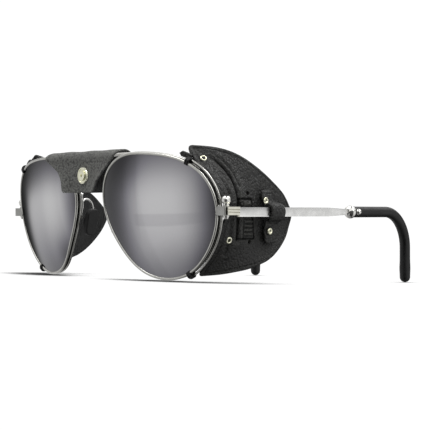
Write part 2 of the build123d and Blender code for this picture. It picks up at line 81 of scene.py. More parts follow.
def lens_point(across, depth, up):
    """Left lens: across to the outer side, depth to the back."""
    y = depth * math.cos(TILT) - up * math.sin(TILT)
    z = depth * math.sin(TILT) + up * math.cos(TILT)
    return np.stack([across * math.cos(WRAP) - y * math.sin(WRAP) + LENS_X,
                     across * math.sin(WRAP) + y * math.cos(WRAP) + LENS_Y, z], -1)


def outline_radius(angle):
    total = OUTLINE[0] + 0 * angle
    for k in range(1, 6):
        total = total + OUTLINE[2 * k - 1] * np.cos(k * angle) + OUTLINE[2 * k] * np.sin(k * angle)
    return total


def outline(angle, outward=0.0):
    """Lens outline at an angle from the outer side, offset square to itself."""
    step = 1e-4
    here, ahead = outline_radius(angle), outline_radius(angle + step)
    across, up = here * np.cos(angle), here * np.sin(angle)
    run = ahead * np.cos(angle + step) - across
    climb = ahead * np.sin(angle + step) - up
    length = np.hypot(run, climb)
    return across + outward * climb / length, up - outward * run / length


def sphere_depth(sphere_r, across, up):
    return LENS_R - np.sqrt(sphere_r ** 2 - across ** 2 - up ** 2)


def rim_point(angle, outward, behind):
    """Point near the lens edge: outward from the outline and behind the lens surface."""
    across, up = outline(angle, outward)
    return lens_point(across, sphere_depth(LENS_R, *outline(angle)) + behind, up)


def temple_point(out, back, up):
    """Left temple: out from its inner side, back along its length."""
    out, back, up = np.broadcast_arrays(out, back, up)
    cos, sin = math.cos(TOE_IN), math.sin(TOE_IN)
    return np.stack([TEMPLE_X + out * cos - back * sin, TEMPLE_Y + out * sin + back * cos, up], -1)


# ---------------------------------------------------------------- curves and soft steps
def above(value, limit, width):
    """Soft step from 0 to 1 as value passes limit."""
    return 1 / (1 + np.exp(np.clip((limit - value) / width, -40, 40)))


def below(value, limit, width):
    """Soft step from 1 to 0 as value passes limit."""
    return above(-value, -limit, width)


def bell(value, width):
    return np.exp(-(value / width) ** 2)


def unit(vectors):
    return vectors / np.linalg.norm(vectors, axis=-1, keepdims=True)


def arc_length(path):
    return np.concatenate([[0], np.cumsum(np.linalg.norm(np.diff(path, axis=0), axis=1))])


def natural_spline(knots, rows, at, column=None):
    """Natural cubic through rows at the knots; column picks one second index per value of at."""
    gaps = np.diff(knots)
    last = len(gaps)
    system = np.zeros((last + 1, last + 1))
    system[0, 0] = system[last, last] = 1
    pull = np.zeros_like(rows)
    for i in range(1, last):
        system[i, i - 1:i + 2] = gaps[i - 1], 2 * (gaps[i - 1] + gaps[i]), gaps[i]
        pull[i] = 6 * ((rows[i + 1] - rows[i]) / gaps[i] - (rows[i] - rows[i - 1]) / gaps[i - 1])
    bend = np.linalg.solve(system, pull.reshape(last + 1, -1)).reshape(rows.shape)

    span = np.clip(np.searchsorted(knots, at, side="right") - 1, 0, last - 1)
    start = span if column is None else (span, column)
    end = span + 1 if column is None else (span + 1, column)
    shape = (-1,) + (1,) * (rows[start].ndim - 1)
    part = ((at - knots[span]) / gaps[span]).reshape(shape)
    rest = 1 - part
    curve = (rest ** 3 - rest) * bend[start] + (part ** 3 - part) * bend[end]
    return rest * rows[start] + part * rows[end] + curve * gaps[span].reshape(shape) ** 2 / 6


def smooth_path(points, count):
    """Evenly spaced stations on a spline with knots by chord; columns past 3 ride along."""
    points = np.array(points, float)
    chords = np.linalg.norm(np.diff(points[:, :3], axis=0), axis=1) + 1e-6
    knots = np.concatenate([[0], np.cumsum(chords)])
    return natural_spline(knots / knots[-1], points, np.linspace(0, 1, count))


# ---------------------------------------------------------------- mesh helpers
def add_mesh(name, points, faces, side):
    """Smooth mesh with outward normals from left-side points in mm."""
    data = bpy.data.meshes.new(name)
    data.from_pydata(stand(np.array(points, float) * (side, 1, 1)).tolist(), [], faces)
    data.validate()
    data.update()
    ob = bpy.data.objects.new(name, data)
    bpy.context.scene.collection.objects.link(ob)
    work = bmesh.new()
    work.from_mesh(data)
    bmesh.ops.recalc_face_normals(work, faces=work.faces)
    work.to_mesh(data)
    work.free()
    shade_smooth(ob)
    return ob


def shade_smooth(ob):
    ob.data.polygons.foreach_set("use_smooth", [True] * len(ob.data.polygons))


def grid_faces(rows, columns, wrap_rows=False, wrap_columns=False):
    faces = []
    for i in range(rows if wrap_rows else rows - 1):
        for j in range(columns if wrap_columns else columns - 1):
            row, next_row = i * columns, (i + 1) % rows * columns
            after = (j + 1) % columns
            faces.append((row + j, next_row + j, next_row + after, row + after))
    return faces


def add_sheet(name, outer, inner, side):
    """Closed sheet between two grids of points that share the outer one's border."""
    rows, columns = outer.shape[:2]
    core = (rows - 2) * (columns - 2)
    top = np.arange(rows * columns).reshape(rows, columns)
    under = top.copy()
    under[1:-1, 1:-1] = rows * columns + np.arange(core).reshape(rows - 2, columns - 2)
    top, under = top.tolist(), under.tolist()
    faces = []
    for i in range(rows - 1):
        for j in range(columns - 1):
            faces.append((top[i][j], top[i + 1][j], top[i + 1][j + 1], top[i][j + 1]))
            faces.append((under[i][j], under[i][j + 1], under[i + 1][j + 1], under[i + 1][j]))
    points = np.concatenate([outer.reshape(-1, 3), inner[1:-1, 1:-1].reshape(-1, 3)])
    return add_mesh(name, points, faces, side)


def add_loft(name, rings, ends, side):
    """Skin over rings of points, closed with a fan to a centre point at either end."""
    rings = np.asarray(rings)
    count, ring = rings.shape[:2]
    faces = grid_faces(count, ring, wrap_columns=True)
    last = (count - 1) * ring
    for k in range(ring):
        after = (k + 1) % ring
        faces.append((count * ring, after, k))
        faces.append((count * ring + 1, last + k, last + after))
    return add_mesh(name, np.concatenate([rings.reshape(-1, 3), ends]), faces, side)


def add_tube(name, path, radii, side, segments):
    """Round tube whose section is carried along the path without twist."""
    tangents = unit(np.gradient(path, axis=0))
    normal = np.array([0.0, 0.0, 1.0])
    angles = 2 * math.pi * np.arange(segments)[:, None] / segments
    rings = []
    for centre, tangent, radius in zip(path, tangents, radii):
        normal = unit(normal - tangent * (normal @ tangent))
        across = np.cross(tangent, normal)
        rings.append(centre + radius * (np.cos(angles) * normal + np.sin(angles) * across))
    return add_loft(name, rings, (path[0], path[-1]), side)


def add_strap(name, path, width_dirs, thick_dirs, widths, thicks, side):
    """Strap with a rounded-rectangle section."""
    segments = 28
    flat_power, thick_power = 0.22, 0.55    # lower is squarer
    angles = 2 * math.pi * np.arange(segments) / segments
    cos, sin = np.cos(angles), np.sin(angles)
    half_w = np.maximum(widths, 0.02)[:, None] / 2
    half_t = (np.maximum(thicks, 0.02) + 0 * widths)[:, None] / 2
    square = np.copysign(np.abs(cos) ** flat_power, cos)
    sideways = half_w * np.where(half_w > half_t, square, cos)
    through = half_t * np.copysign(np.abs(sin) ** thick_power, sin)
    rings = (path[:, None] + width_dirs[:, None] * sideways[..., None]
             + thick_dirs[:, None] * through[..., None])
    return add_loft(name, rings, (path[0], path[-1]), side)


def add_turned_rings(name, places, profile, side):
    """Turned rings at (point, axis) places; the first band of each profile, the floor of the hollow
    middle, is painted black as shade.
    """
    segments = 40
    points, faces = [], []
    for centre, axis in places:
        axis = unit(axis)
        first = unit(np.cross(axis, (0, 0, 1.0)))
        second = np.cross(axis, first)
        base = len(points)
        for radius, height in profile:
            for k in range(segments):
                angle = 2 * math.pi * k / segments
                points.append(centre + axis * height + first * radius * math.cos(angle)
                              + second * radius * math.sin(angle))
        for i in range(len(profile) - 1):
            row = base + i * segments
            for k in range(segments):
                after = (k + 1) % segments
                faces.append((row + k, row + segments + k, row + segments + after, row + after))
    ob = add_mesh(name, points, faces, side)
    bright_faces = (len(profile) - 2) * segments
    paint(ob, BRASS, BLACK, index=([1] * segments + [0] * bright_faces) * len(places))
    return ob


def add_attribute(ob, name, values):
    layer = ob.data.attributes.new(name, "FLOAT", "POINT")
    layer.data.foreach_set("value", values)


def face_vectors(ob, field):
    values = np.empty(len(ob.data.polygons) * 3)
    ob.data.polygons.foreach_get(field, values)
    return values.reshape(-1, 3)


def paint(ob, *materials, index=None):
    """Gives the object its materials, and each face its material index."""
    ob.data.materials.clear()
    for material in materials:
        ob.data.materials.append(material)
    if index is not None:
        ob.data.polygons.foreach_set("material_index", index)


def register(ob, replaced=None, rides=None):
    """CAD piece replaced and moving part that carries the object."""
    if replaced:
        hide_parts(replaced)
    if rides:
        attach(ob, rides)


# ---------------------------------------------------------------- shader helpers
def add_node(tree, kind, **properties):
    node = tree.nodes.new("ShaderNode" + kind)
    for key, value in properties.items():
        setattr(node, key, value)
    return node


def plug(tree, socket, value):
    """Links a socket, or sets a constant."""
    if isinstance(value, bpy.types.NodeSocket):
        tree.links.new(value, socket)
    else:
        socket.default_value = value


def new_material(name):
    material = bpy.data.materials.new(name)
    material.use_nodes = True
    tree = material.node_tree
    tree.nodes.clear()
    output = add_node(tree, "OutputMaterial")
    surface = add_node(tree, "BsdfPrincipled")
    tree.links.new(surface.outputs[0], output.inputs[0])
    return material, tree, surface, output


def texture(tree, kind, vector, **settings):
    node = add_node(tree, "Tex" + kind)
    for key, value in settings.items():
        node.inputs[key].default_value = value
    tree.links.new(vector, node.inputs["Vector"])
    return node


def object_coords(tree, scale=(1, 1, 1)):
    source = add_node(tree, "TexCoord")
    mapping = add_node(tree, "Mapping")
    mapping.inputs["Scale"].default_value = scale
    tree.links.new(source.outputs["Object"], mapping.inputs["Vector"])
    return mapping.outputs[0]


def ramp(tree, factor, *stops):
    """Colour ramp; each stop is a position and a grey or a colour."""
    node = add_node(tree, "ValToRGB")
    elements = node.color_ramp.elements
    while len(elements) > 1:
        elements.remove(elements[-1])
    elements[0].position = stops[0][0]
    for i, (position, tone) in enumerate(stops):
        element = elements.new(position) if i else elements[0]
        element.color = (*(tone if isinstance(tone, tuple) else (tone,) * 3), 1)
    tree.links.new(factor, node.inputs[0])
    return node.outputs[0]


def calc(tree, operation, first, second=None, clamp=False):
    node = add_node(tree, "Math", operation=operation, use_clamp=clamp)
    plug(tree, node.inputs[0], first)
    if second is not None:
        plug(tree, node.inputs[1], second)
    return node.outputs[0]


def vector_calc(tree, operation, *values):
    node = add_node(tree, "VectorMath", operation=operation)
    for socket, value in zip(node.inputs, values):
        plug(tree, socket, value)
    return node


def mix_colour(tree, blend, factor, first, second):
    node = add_node(tree, "Mix", data_type="RGBA", blend_type=blend)
    for socket, value in zip((0, 6, 7), (factor, first, second)):
        plug(tree, node.inputs[socket], value)
    return node.outputs[2]


def mix_shader(tree, factor, first, second):
    node = add_node(tree, "MixShader")
    for socket, value in zip(node.inputs, (factor, first, second)):
        plug(tree, socket, value)
    return node.outputs[0]


def glow(tree, kind, colour, strength):
    """Emission or Background shader."""
    node = add_node(tree, kind)
    plug(tree, node.inputs[0], colour)
    node.inputs[1].default_value = strength
    return node.outputs[0]


def bump(tree, height, distance, strength, base=None):
    """Bump normal; distance in metres."""
    node = add_node(tree, "Bump")
    node.inputs["Distance"].default_value = distance
    node.inputs["Strength"].default_value = strength
    tree.links.new(height, node.inputs["Height"])
    if base is not None:
        tree.links.new(base, node.inputs["Normal"])
    return node.outputs[0]


def attribute(tree, name):
    return add_node(tree, "Attribute", attribute_name=name).outputs["Fac"]


# ---------------------------------------------------------------- materials
def metal(name, tone, rough, grain=(1, 1, 1), fine_depth=0.00003, wear=0.5, warm=0.0):
    """Smudged metal with a fine grain and small pits."""
    material, tree, surface, _ = new_material(name)
    coords = object_coords(tree)
    smudge = texture(tree, "Noise", coords, Scale=350.0, Detail=4.0, Roughness=0.6).outputs[0]
    dull = (tone[0] * 0.86, tone[1] * 0.86, tone[2] * (0.86 - warm))
    plug(tree, surface.inputs["Base Color"], ramp(tree, smudge, (0.3, dull), (0.65, tone)))
    plug(tree, surface.inputs["Roughness"],
         ramp(tree, smudge, (0.3, min(1, rough * 1.7)), (0.62, rough)))
    surface.inputs["Metallic"].default_value = 1.0
    fine = texture(tree, "Noise", object_coords(tree, scale=grain),
                   Scale=2600.0, Detail=5.0, Roughness=0.7)
    grained = bump(tree, fine.outputs[0], distance=fine_depth, strength=0.35)
    pits = texture(tree, "Voronoi", coords, Scale=900.0)
    pit_height = ramp(tree, pits.outputs["Distance"], (0.0, 0), (0.08, 1))
    plug(tree, surface.inputs["Normal"],
         bump(tree, pit_height, distance=0.00002, strength=0.3 * wear, base=grained))
    return material


def add_ruled_block(material):
    """Warmer, slightly darker hinge block, with two fine engraved lines painted dark as groove
    shade.
    """
    face_out, block_end, line_back = 2.6, 4.55, 2.0     # temple mm
    line_heights, line_half_width = (1.72, 2.73), 0.00013
    tree = material.node_tree
    surface = next(node for node in tree.nodes if node.type == "BSDF_PRINCIPLED")
    plain = surface.inputs["Base Color"].links[0].from_socket
    split = add_node(tree, "SeparateXYZ")
    tree.links.new(object_coords(tree), split.inputs[0])
    end_y = float(stand(temple_point(face_out, block_end, AXIS_Z))[1])
    inside = calc(tree, "LESS_THAN", split.outputs[1], end_y)
    lines = None
    for height in line_heights:
        line_z = float(stand(temple_point(face_out, line_back, height))[2])
        away = calc(tree, "ABSOLUTE", calc(tree, "SUBTRACT", split.outputs[2], line_z))
        line = calc(tree, "LESS_THAN", away, line_half_width)
        lines = line if lines is None else calc(tree, "MAXIMUM", lines, line)
    block = mix_colour(tree, "MULTIPLY", inside, plain, (0.86, 0.845, 0.75, 1))
    # painted shade: the two lines are darkened in colour for the shade in the block's fine grooves
    groove_shade = calc(tree, "MULTIPLY", inside, lines)
    plug(tree, surface.inputs["Base Color"],
         mix_colour(tree, "MULTIPLY", groove_shade, block, (0.42, 0.41, 0.36, 1)))


def leather(name, dark, light, scale, rough, depth, suede=False):
    """Pebbled leather, with painted shade in the hollows and painted highlights on the ridges, each
    set by a mesh attribute.
    """
    pore_share = 1.4 if suede else 0.5
    shine, shade_shine_loss = (0.1, 0.08) if suede else (0.42, 0.40)
    material, tree, surface, _ = new_material(name)
    coords = object_coords(tree)
    warp = texture(tree, "Noise", coords, Scale=500.0, Detail=2.0).outputs["Color"]
    warped = vector_calc(tree, "MULTIPLY_ADD", warp, (0.0006,) * 3, coords).outputs[0]
    large = texture(tree, "Voronoi", warped, Scale=scale).outputs["Distance"]
    small = texture(tree, "Voronoi", warped, Scale=scale * 2.3).outputs["Distance"]
    pores = texture(tree, "Noise", coords, Scale=scale * 3.0, Detail=4.0, Roughness=0.7)
    folds = texture(tree, "Noise", coords, Scale=150.0, Detail=5.0, Roughness=0.6).outputs[0]

    pebbles = ramp(tree, large, (0.0, 1), (0.45, 0.75), (0.8, 0.0))
    small_pebbles = ramp(tree, small, (0.0, 1), (0.8, 0.0))
    height = calc(tree, "ADD", calc(tree, "MULTIPLY", pebbles, 0.7),
                  calc(tree, "MULTIPLY", small_pebbles, 0.25))
    height = calc(tree, "ADD", height, calc(tree, "MULTIPLY", pores.outputs[0], pore_share))
    grained = bump(tree, height, distance=depth, strength=0.85)
    plug(tree, surface.inputs["Normal"],
         bump(tree, folds, distance=0.0009, strength=0.35, base=grained))

    tone = calc(tree, "ADD", calc(tree, "MULTIPLY", height, 0.55),
                calc(tree, "MULTIPLY", folds, 0.45))
    skin = ramp(tree, tone, (0.30, dark), (0.85, light))
    painted_shade, raised_and_highlight = attribute(tree, "painted_shade"), attribute(tree, "raised_and_highlight")
    # painted highlight: raised ridges are lightened towards a brighter leather colour; painted
    # shade: hollows are darkened almost to black and lose shine
    painted_highlight = (light[0] * 3.2, light[1] * 3.2, light[2] * 3.1, 1)
    skin = mix_colour(tree, "MIX", calc(tree, "MULTIPLY", raised_and_highlight, 0.8, clamp=True), skin, painted_highlight)
    skin = mix_colour(tree, "MIX", calc(tree, "MULTIPLY", painted_shade, 0.97, clamp=True), skin,
                      (0.0006, 0.0006, 0.0006, 1))
    plug(tree, surface.inputs["Base Color"], skin)
    plug(tree, surface.inputs["Specular IOR Level"],
         calc(tree, "SUBTRACT", shine, calc(tree, "MULTIPLY", painted_shade, shade_shine_loss), clamp=True))
    plug(tree, surface.inputs["Roughness"],
         ramp(tree, folds, (0.3, rough - 0.08), (0.7, min(1, rough + 0.16))))
    if suede:
        surface.inputs["Sheen Weight"].default_value = 0.25
        surface.inputs["Sheen Roughness"].default_value = 0.6
    return material


def rubber(name, tone, rough):
    material, tree, surface, _ = new_material(name)
    coords = object_coords(tree)
    fine = texture(tree, "Noise", coords, Scale=3200.0, Detail=5.0, Roughness=0.65)
    dust = texture(tree, "Noise", coords, Scale=260.0, Detail=6.0, Roughness=0.7).outputs[0]
    plug(tree, surface.inputs["Base Color"], ramp(tree, dust, (0.4, tone), (0.75, tone * 2.1)))
    plug(tree, surface.inputs["Roughness"],
         ramp(tree, dust, (0.35, rough), (0.7, min(1, rough + 0.2))))
    plug(tree, surface.inputs["Normal"],
         bump(tree, fine.outputs[0], distance=0.00004, strength=0.5))
    surface.inputs["Specular IOR Level"].default_value = 0.34
    return material


def mirror_lens(name):
    """Flash coating whose reflectance, set by the "fall" attribute, carries a painted reflection of
    the studio; a second attribute fades it to a dark matt face, a painted reflection of the dark
    leather.
    """
    material, tree, surface, output = new_material(name)
    surface.inputs["Metallic"].default_value = 1.0
    coating = ramp(tree, attribute(tree, "fall"),
                   (0.0, (0.004, 0.004, 0.006)), (0.25, (0.245, 0.240, 0.268)),
                   (0.55, (0.550, 0.545, 0.560)), (1.0, (1.0, 1.0, 1.0)))
    haze = texture(tree, "Noise", object_coords(tree), Scale=90.0, Detail=5.0,
                   Roughness=0.6).outputs[0]
    plug(tree, surface.inputs["Base Color"], coating)
    plug(tree, surface.inputs["Roughness"], ramp(tree, haze, (0.35, 0.035), (0.7, 0.075)))
    surface.inputs["Coat Weight"].default_value = 0.3
    surface.inputs["Coat Roughness"].default_value = 0.02
    clear = add_node(tree, "BsdfTransparent")
    clear.inputs[0].default_value = (0.30, 0.30, 0.31, 1)
    opacity = 0.86
    glass = mix_shader(tree, opacity, clear.outputs[0], surface.outputs[0])
    matt = add_node(tree, "BsdfDiffuse")
    plug(tree, matt.inputs[0], ramp(tree, haze, (0.3, 0.004), (0.7, 0.012)))
    plug(tree, output.inputs[0],
         mix_shader(tree, attribute(tree, "painted_leather_reflection"), glass, matt.outputs[0]))
    return material


CHROME = metal("polished_metal", tone=(0.74, 0.735, 0.71), rough=0.12, warm=0.01)
# The same brushed metal plain, which stays in the file unassigned, and for the temples
BRUSHED, TEMPLE = [
    metal(name, tone=(0.88, 0.88, 0.865), rough=0.25, grain=(1.0, 0.04, 1.0),
          fine_depth=0.00003 * 2.2 * 0.07, wear=0.0)
    for name in ("brushed_metal", "temple_metal")]
add_ruled_block(TEMPLE)
BRASS = metal("nickel_brass", tone=(0.84, 0.83, 0.68), rough=0.19, warm=0.06)
RIM = metal("eyewire_metal", tone=(0.50, 0.495, 0.470), rough=0.15, warm=0.01)
LUG = metal("lug_metal", tone=(0.36, 0.36, 0.345), rough=0.24, warm=0.01)
CHANNEL = metal("channel_shadowed_metal", tone=(0.050, 0.050, 0.047), rough=0.45)
# black for the clips, and also the painted shade in the hollow middles of rivets and eyelets
BLACK = metal("black_lacquer_and_hollow_shade", tone=(0.030, 0.030, 0.030), rough=0.30)
LEATHER = leather("shield_leather", dark=(0.0012, 0.0012, 0.0011), light=(0.0165, 0.0165, 0.0148),
                  scale=1100.0, rough=0.45, depth=0.00044)
NOSE = leather("nose_leather_grain", dark=(0.018, 0.018, 0.016), light=(0.185, 0.185, 0.170),
               scale=1300.0, rough=0.60, depth=0.00020)
SUEDE = leather("flesh_side", dark=(0.004, 0.004, 0.004), light=(0.012, 0.012, 0.011),
                scale=2200.0, rough=0.85, depth=0.0002, suede=True)
SLEEVE = rubber("sleeve_rubber", tone=0.0032, rough=0.36)
PAD = rubber("pad_rubber", tone=0.004, rough=0.46)
LENS = mirror_lens("mirror_lens")


# ---------------------------------------------------------------- eyewires
RIDGE_R, RIDGE_OUT, RIDGE_DEPTH = 0.57, 0.10, 0.80      # two round ridges, front and back


def ridge(depth, start, end, count=16):
    angles = np.radians(np.linspace(start, end, count))
    return np.stack([RIDGE_OUT + RIDGE_R * np.cos(angles), depth + RIDGE_R * np.sin(angles)], 1)


# Section of the eyewire as (outward, behind): ridges, the outer channel and the flat inside
EYEWIRE_SECTION = np.concatenate([
    ridge(-RIDGE_DEPTH, -175, 55),
    [(0.12, -0.30), (-0.22, -0.24), (-0.30, 0.0), (-0.22, 0.24), (0.12, 0.30)],
    ridge(RIDGE_DEPTH, -55, 175),
    [(-0.55, 0.62), (-0.60, 0.30), (-0.60, -0.30), (-0.55, -0.62)]])
CHANNEL_FACES = range(15, 21)


def make_eyewire(side, tag):
    angles = np.linspace(0, 2 * math.pi, 360, endpoint=False)
    rings = rim_point(angles[:, None], EYEWIRE_SECTION[:, 0], EYEWIRE_SECTION[:, 1])
    count, ring = rings.shape[:2]
    ob = add_mesh("eyewire_" + tag, rings.reshape(-1, 3), grid_faces(count, ring, True, True), side)
    paint(ob, RIM, CHANNEL,
          index=[int(i % ring in CHANNEL_FACES) for i in range(len(ob.data.polygons))])
    register(ob, "rim_" + tag, "front")


# ---------------------------------------------------------------- lenses
LENS_HALF_THICK = 0.88
LENS_EDGE = -0.2                # lens edge from the outline
LENS_RINGS, LENS_SPOKES = 110, 300


def flash_and_painted_reflection_left(x, up):
    """Reflectance of the left lens, with the studio's reflection painted in; x is mm towards +X
    from the lens centre.
    """
    rise = above(x, limit=-12.5 + 6.5 * above(up, limit=13, width=3), width=4.0)
    fall = below(x, limit=23.5 - 9.5 * below(up, limit=-16, width=4), width=3.0)
    glow_down = bell(up - 6, np.where(up > 6, 18.0, 33.0))
    # painted reflection of the edges of two soft boxes: drop in brightness, x and lower end
    boxes = 1.0
    for drop, edge_x, low_end in ((0.11, -6.6, -5), (0.10, -14.6, -2)):
        boxes = boxes * (1 - drop * below(x, edge_x, width=0.22) * above(up, low_end, width=3))
    # painted darker band between the reflected boxes, with a curved lower edge
    gap = 0.13 * below(up, limit=1.3, width=0.16)
    gap = gap * above(up, limit=-3.4 + 0.0022 * (x - 2.0) ** 2, width=0.16)
    gap = gap * above(x, limit=-8.7, width=0.6) * below(x, limit=22.0, width=2.0)
    return 0.66 * rise * fall * glow_down * boxes * (1 - gap)


def flash_and_painted_reflection_right(x, up):
    """Reflectance of the right lens, with a painted reflection that is dark in its lower corner
    towards the nose.
    """
    rise = above(x, limit=-13.9, width=1.9)
    fall = below(x, limit=23.0, width=3.0)
    glow_down = bell(up - 6, np.where(up > 6, 13.0, 23.0))
    corner = 0.95 * above(x, limit=13, width=2.5) * below(up, limit=-11, width=3)
    level = 0.58 + 0.17 * above(x, limit=7, width=2.0)
    return level * rise * fall * glow_down * (1 - corner)


def leather_reflection_right(x, up):
    """Share of the right lens's outer edge that gets a painted reflection of the dark leather
    beside it.
    """
    return 0.97 * below(x, limit=-11.8 + 12.5 * above(up, limit=13, width=3),
                        width=2.4 + 3.2 * above(up, limit=11, width=2))


def make_lens(side, tag):
    angles = np.linspace(0, 2 * math.pi, LENS_SPOKES, endpoint=False)
    edge_across, edge_up = outline(angles, LENS_EDGE)
    shares = np.linspace(0, 1, LENS_RINGS + 1)[1:]
    across = np.concatenate([[0.0], np.outer(shares, edge_across).ravel()])
    up = np.concatenate([[0.0], np.outer(shares, edge_up).ravel()])
    points = np.concatenate([
        lens_point(across, sphere_depth(LENS_R + offset, across, up), up)
        for offset in (LENS_HALF_THICK, -LENS_HALF_THICK)])     # front face, then back
    after = [(j + 1) % LENS_SPOKES for j in range(LENS_SPOKES)]
    face_size = len(across)
    faces = []
    for pole in (0, face_size):
        for j in range(LENS_SPOKES):
            faces.append((pole, pole + 1 + j, pole + 1 + after[j]))
        for i in range(LENS_RINGS - 1):
            row = pole + 1 + i * LENS_SPOKES
            for j in range(LENS_SPOKES):
                here, beside = row + j, row + after[j]
                faces.append((here, here + LENS_SPOKES, beside + LENS_SPOKES, beside))
    front_edge = 1 + (LENS_RINGS - 1) * LENS_SPOKES
    back_edge = face_size + front_edge
    for j in range(LENS_SPOKES):
        faces.append((front_edge + j, back_edge + j, back_edge + after[j], front_edge + after[j]))
    ob = add_mesh("mirror_lens_" + tag, points, faces, side)

    x = across * side
    # painted reflection: the studio's reflection, and on the right lens the dark leather's, go into
    # the lens colour
    if side > 0:
        flash_and_painted_reflection, painted_leather_reflection = flash_and_painted_reflection_left(x, up), 0 * x
    else:
        flash_and_painted_reflection, painted_leather_reflection = flash_and_painted_reflection_right(x, up), leather_reflection_right(x, up)
        painted_leather_reflection[0] = 0.0        # the centre point stays clear
    add_attribute(ob, "fall", np.tile(flash_and_painted_reflection, 2))
    add_attribute(ob, "painted_leather_reflection", np.tile(painted_leather_reflection, 2))
    paint(ob, LENS)
    register(ob, "lens_" + tag, "front")


# ---------------------------------------------------------------- side shields
SHIELD_THICK = 1.55
# Front column of the outer surface, top to bottom: a point, or an angle round the eyewire
SHIELD_FRONT = [(53.2, 7.5, 27.2), 38.5, 15.4, (69.0, 14.7, 2.0), -9.8, -28.5, -57.0]
SHIELD_WIRE_OUT = 1.75              # leather outward from the lens outline at those angles
SHIELD_BEHIND = (0.35, 0.65)        # and behind the lens surface, above and below centre
SHIELD_LOW_DROP = 0.6               # extra drop of the lowest front corner
# The other columns as (x, y, z): rows from top to bottom, columns from front to rear
SHIELD_BODY = [
    [(60.0, 15.0, 26.4), (64.2, 24.0, 23.5), (65.8, 34.5, 17.2), (65.2, 44.5, 9.9)],
    [(64.4, 17.0, 18.2), (66.4, 26.0, 15.4), (66.2, 36.0, 11.2), (64.7, 47.2, 7.0)],
    [(68.0, 20.0, 9.4), (67.0, 29.0, 8.0), (65.6, 39.0, 6.0), (64.0, 49.6, 4.0)],
    [(68.0, 22.0, 1.8), (66.3, 31.0, 1.4), (64.9, 41.0, 1.0), (63.4, 51.2, 0.6)],
    [(67.3, 21.5, -5.0), (66.1, 30.0, -5.2), (65.0, 39.5, -4.6), (63.7, 49.6, -3.6)],
    [(65.4, 20.6, -12.8), (65.8, 27.5, -12.0), (65.6, 36.0, -10.2), (64.8, 46.4, -8.7)],
    [(60.8, 18.0, -21.6), (64.2, 24.5, -20.4), (65.7, 31.0, -18.7), (65.6, 39.7, -15.7)]]

# Creases of the leather: line of (x, y, z), depth, width
CREASES = [
    ([(55.2, 8.9, 25.1), (58.9, 11.3, 23.2), (62.0, 14.3, 21.0), (64.6, 16.9, 17.8),
      (66.6, 19.0, 13.7), (67.9, 19.7, 9.8), (68.4, 20.2, 6.2), (67.9, 20.8, -1.2),
      (66.7, 21.0, -8.4)], 0.55, 0.9),
    ([(56.2, 9.9, 25.3), (60.5, 14.1, 23.4), (63.5, 17.5, 20.6), (65.7, 20.1, 16.7),
      (67.3, 21.9, 11.6)], 0.30, 0.7),
    ([(61.4, 9.6, 18.7), (64.0, 12.5, 16.4), (66.4, 14.2, 12.9), (68.4, 15.8, 8.6)], 0.35, 0.7),
    ([(58.5, 9.6, 21.8), (62.2, 12.6, 18.8), (65.4, 15.2, 15.2), (67.4, 17.2, 10.6),
      (68.3, 18.0, 6.0)], 0.28, 0.6),
    ([(67.9, 17.2, -1.0), (66.9, 17.6, -8.0), (64.6, 17.4, -14.0)], 0.25, 0.8),
]

# Pressed motif seen from the side, sunk in relief and also painted with shade. Grooves as (centre
# y, centre z, half y, half z)
GROOVES = [(24.3, 6.65, 3.8, 0.36), (20.85, 4.6, 0.22, 2.3), (21.0, -2.9, 0.26, 5.4),
           (25.3, -8.2, 4.4, 0.22), (23.85, -4.2, 0.14, 3.7), (24.6, 3.35, 3.5, 0.30)]
# Raised bands, also painted with highlights, as (centre y, centre z, half y, half z, edge
# softness), strength
RAISED_BANDS = [((25.4, 5.0, 2.3, 0.42, 0.16), 0.9), ((22.4, -4.2, 0.75, 3.6, 0.18), 0.45),
                ((25.2, -8.95, 4.2, 0.24, 0.12), 0.4)]
RING_Y, RING_Z, RING_R, RING_WIDTH = 22.1, 4.75, 0.80, 0.16
RIB_Y, RIB_TOP_Z, RIB_PITCH, RIB_COUNT = 26.45, -1.75, 1.55, 4
HOLES = ((25.9, 8.9), (27.5, -9.3))     # punched holes as (y, z)


def shield_net():
    rows = []
    for start, body in zip(SHIELD_FRONT, SHIELD_BODY):
        if not isinstance(start, tuple):
            behind = SHIELD_BEHIND[0 if start > 0 else 1]
            start = rim_point(math.radians(start), SHIELD_WIRE_OUT, behind)
        rows.append([tuple(start)] + body)
    net = np.array(rows)
    net[-1, 0, 2] -= SHIELD_LOW_DROP
    return net


SHIELD_NET = shield_net()


def shield_surface(down, back):
    """Outer surface at two equal arrays of 0 to 1: top to bottom and front to rear."""
    rows, columns = SHIELD_NET.shape[:2]
    across = natural_spline(np.arange(columns), SHIELD_NET.transpose(1, 0, 2),
                            np.clip(back.ravel(), 0, 1) * (columns - 1))
    points = natural_spline(np.arange(rows), across.transpose(1, 0, 2),
                            np.clip(down.ravel(), 0, 1) * (rows - 1), np.arange(down.size))
    return points.reshape(down.shape + (3,))


def line_distance(points, line):
    """Distance of the points from a polyline."""
    best = np.full(points.shape[:-1], 1e9)
    for start, end in zip(line[:-1], line[1:]):
        start = np.array(start, float)
        run = np.array(end, float) - start
        share = np.clip(((points - start) @ run) / (run @ run), 0, 1)
        away = np.linalg.norm(points - (start + share[..., None] * run), axis=-1)
        best = np.minimum(best, away)
    return best


def round_corners(x, y):
    """Rounds the corners of the square -1..1, tightly at the front and widely at the rear."""
    size = np.where(y < 0, 0.12, 0.22)
    flat = 1 - size
    past_x, past_y = (np.clip((np.abs(value) - flat) / size, 0, 1) for value in (x, y))

    def pull_in(value, past, other):
        bent = flat + size * past * np.sqrt(1 - other * other / 2)
        return np.sign(value) * np.where(np.abs(value) > flat, bent, np.abs(value))
    return pull_in(x, past_x, past_y), pull_in(y, past_y, past_x)


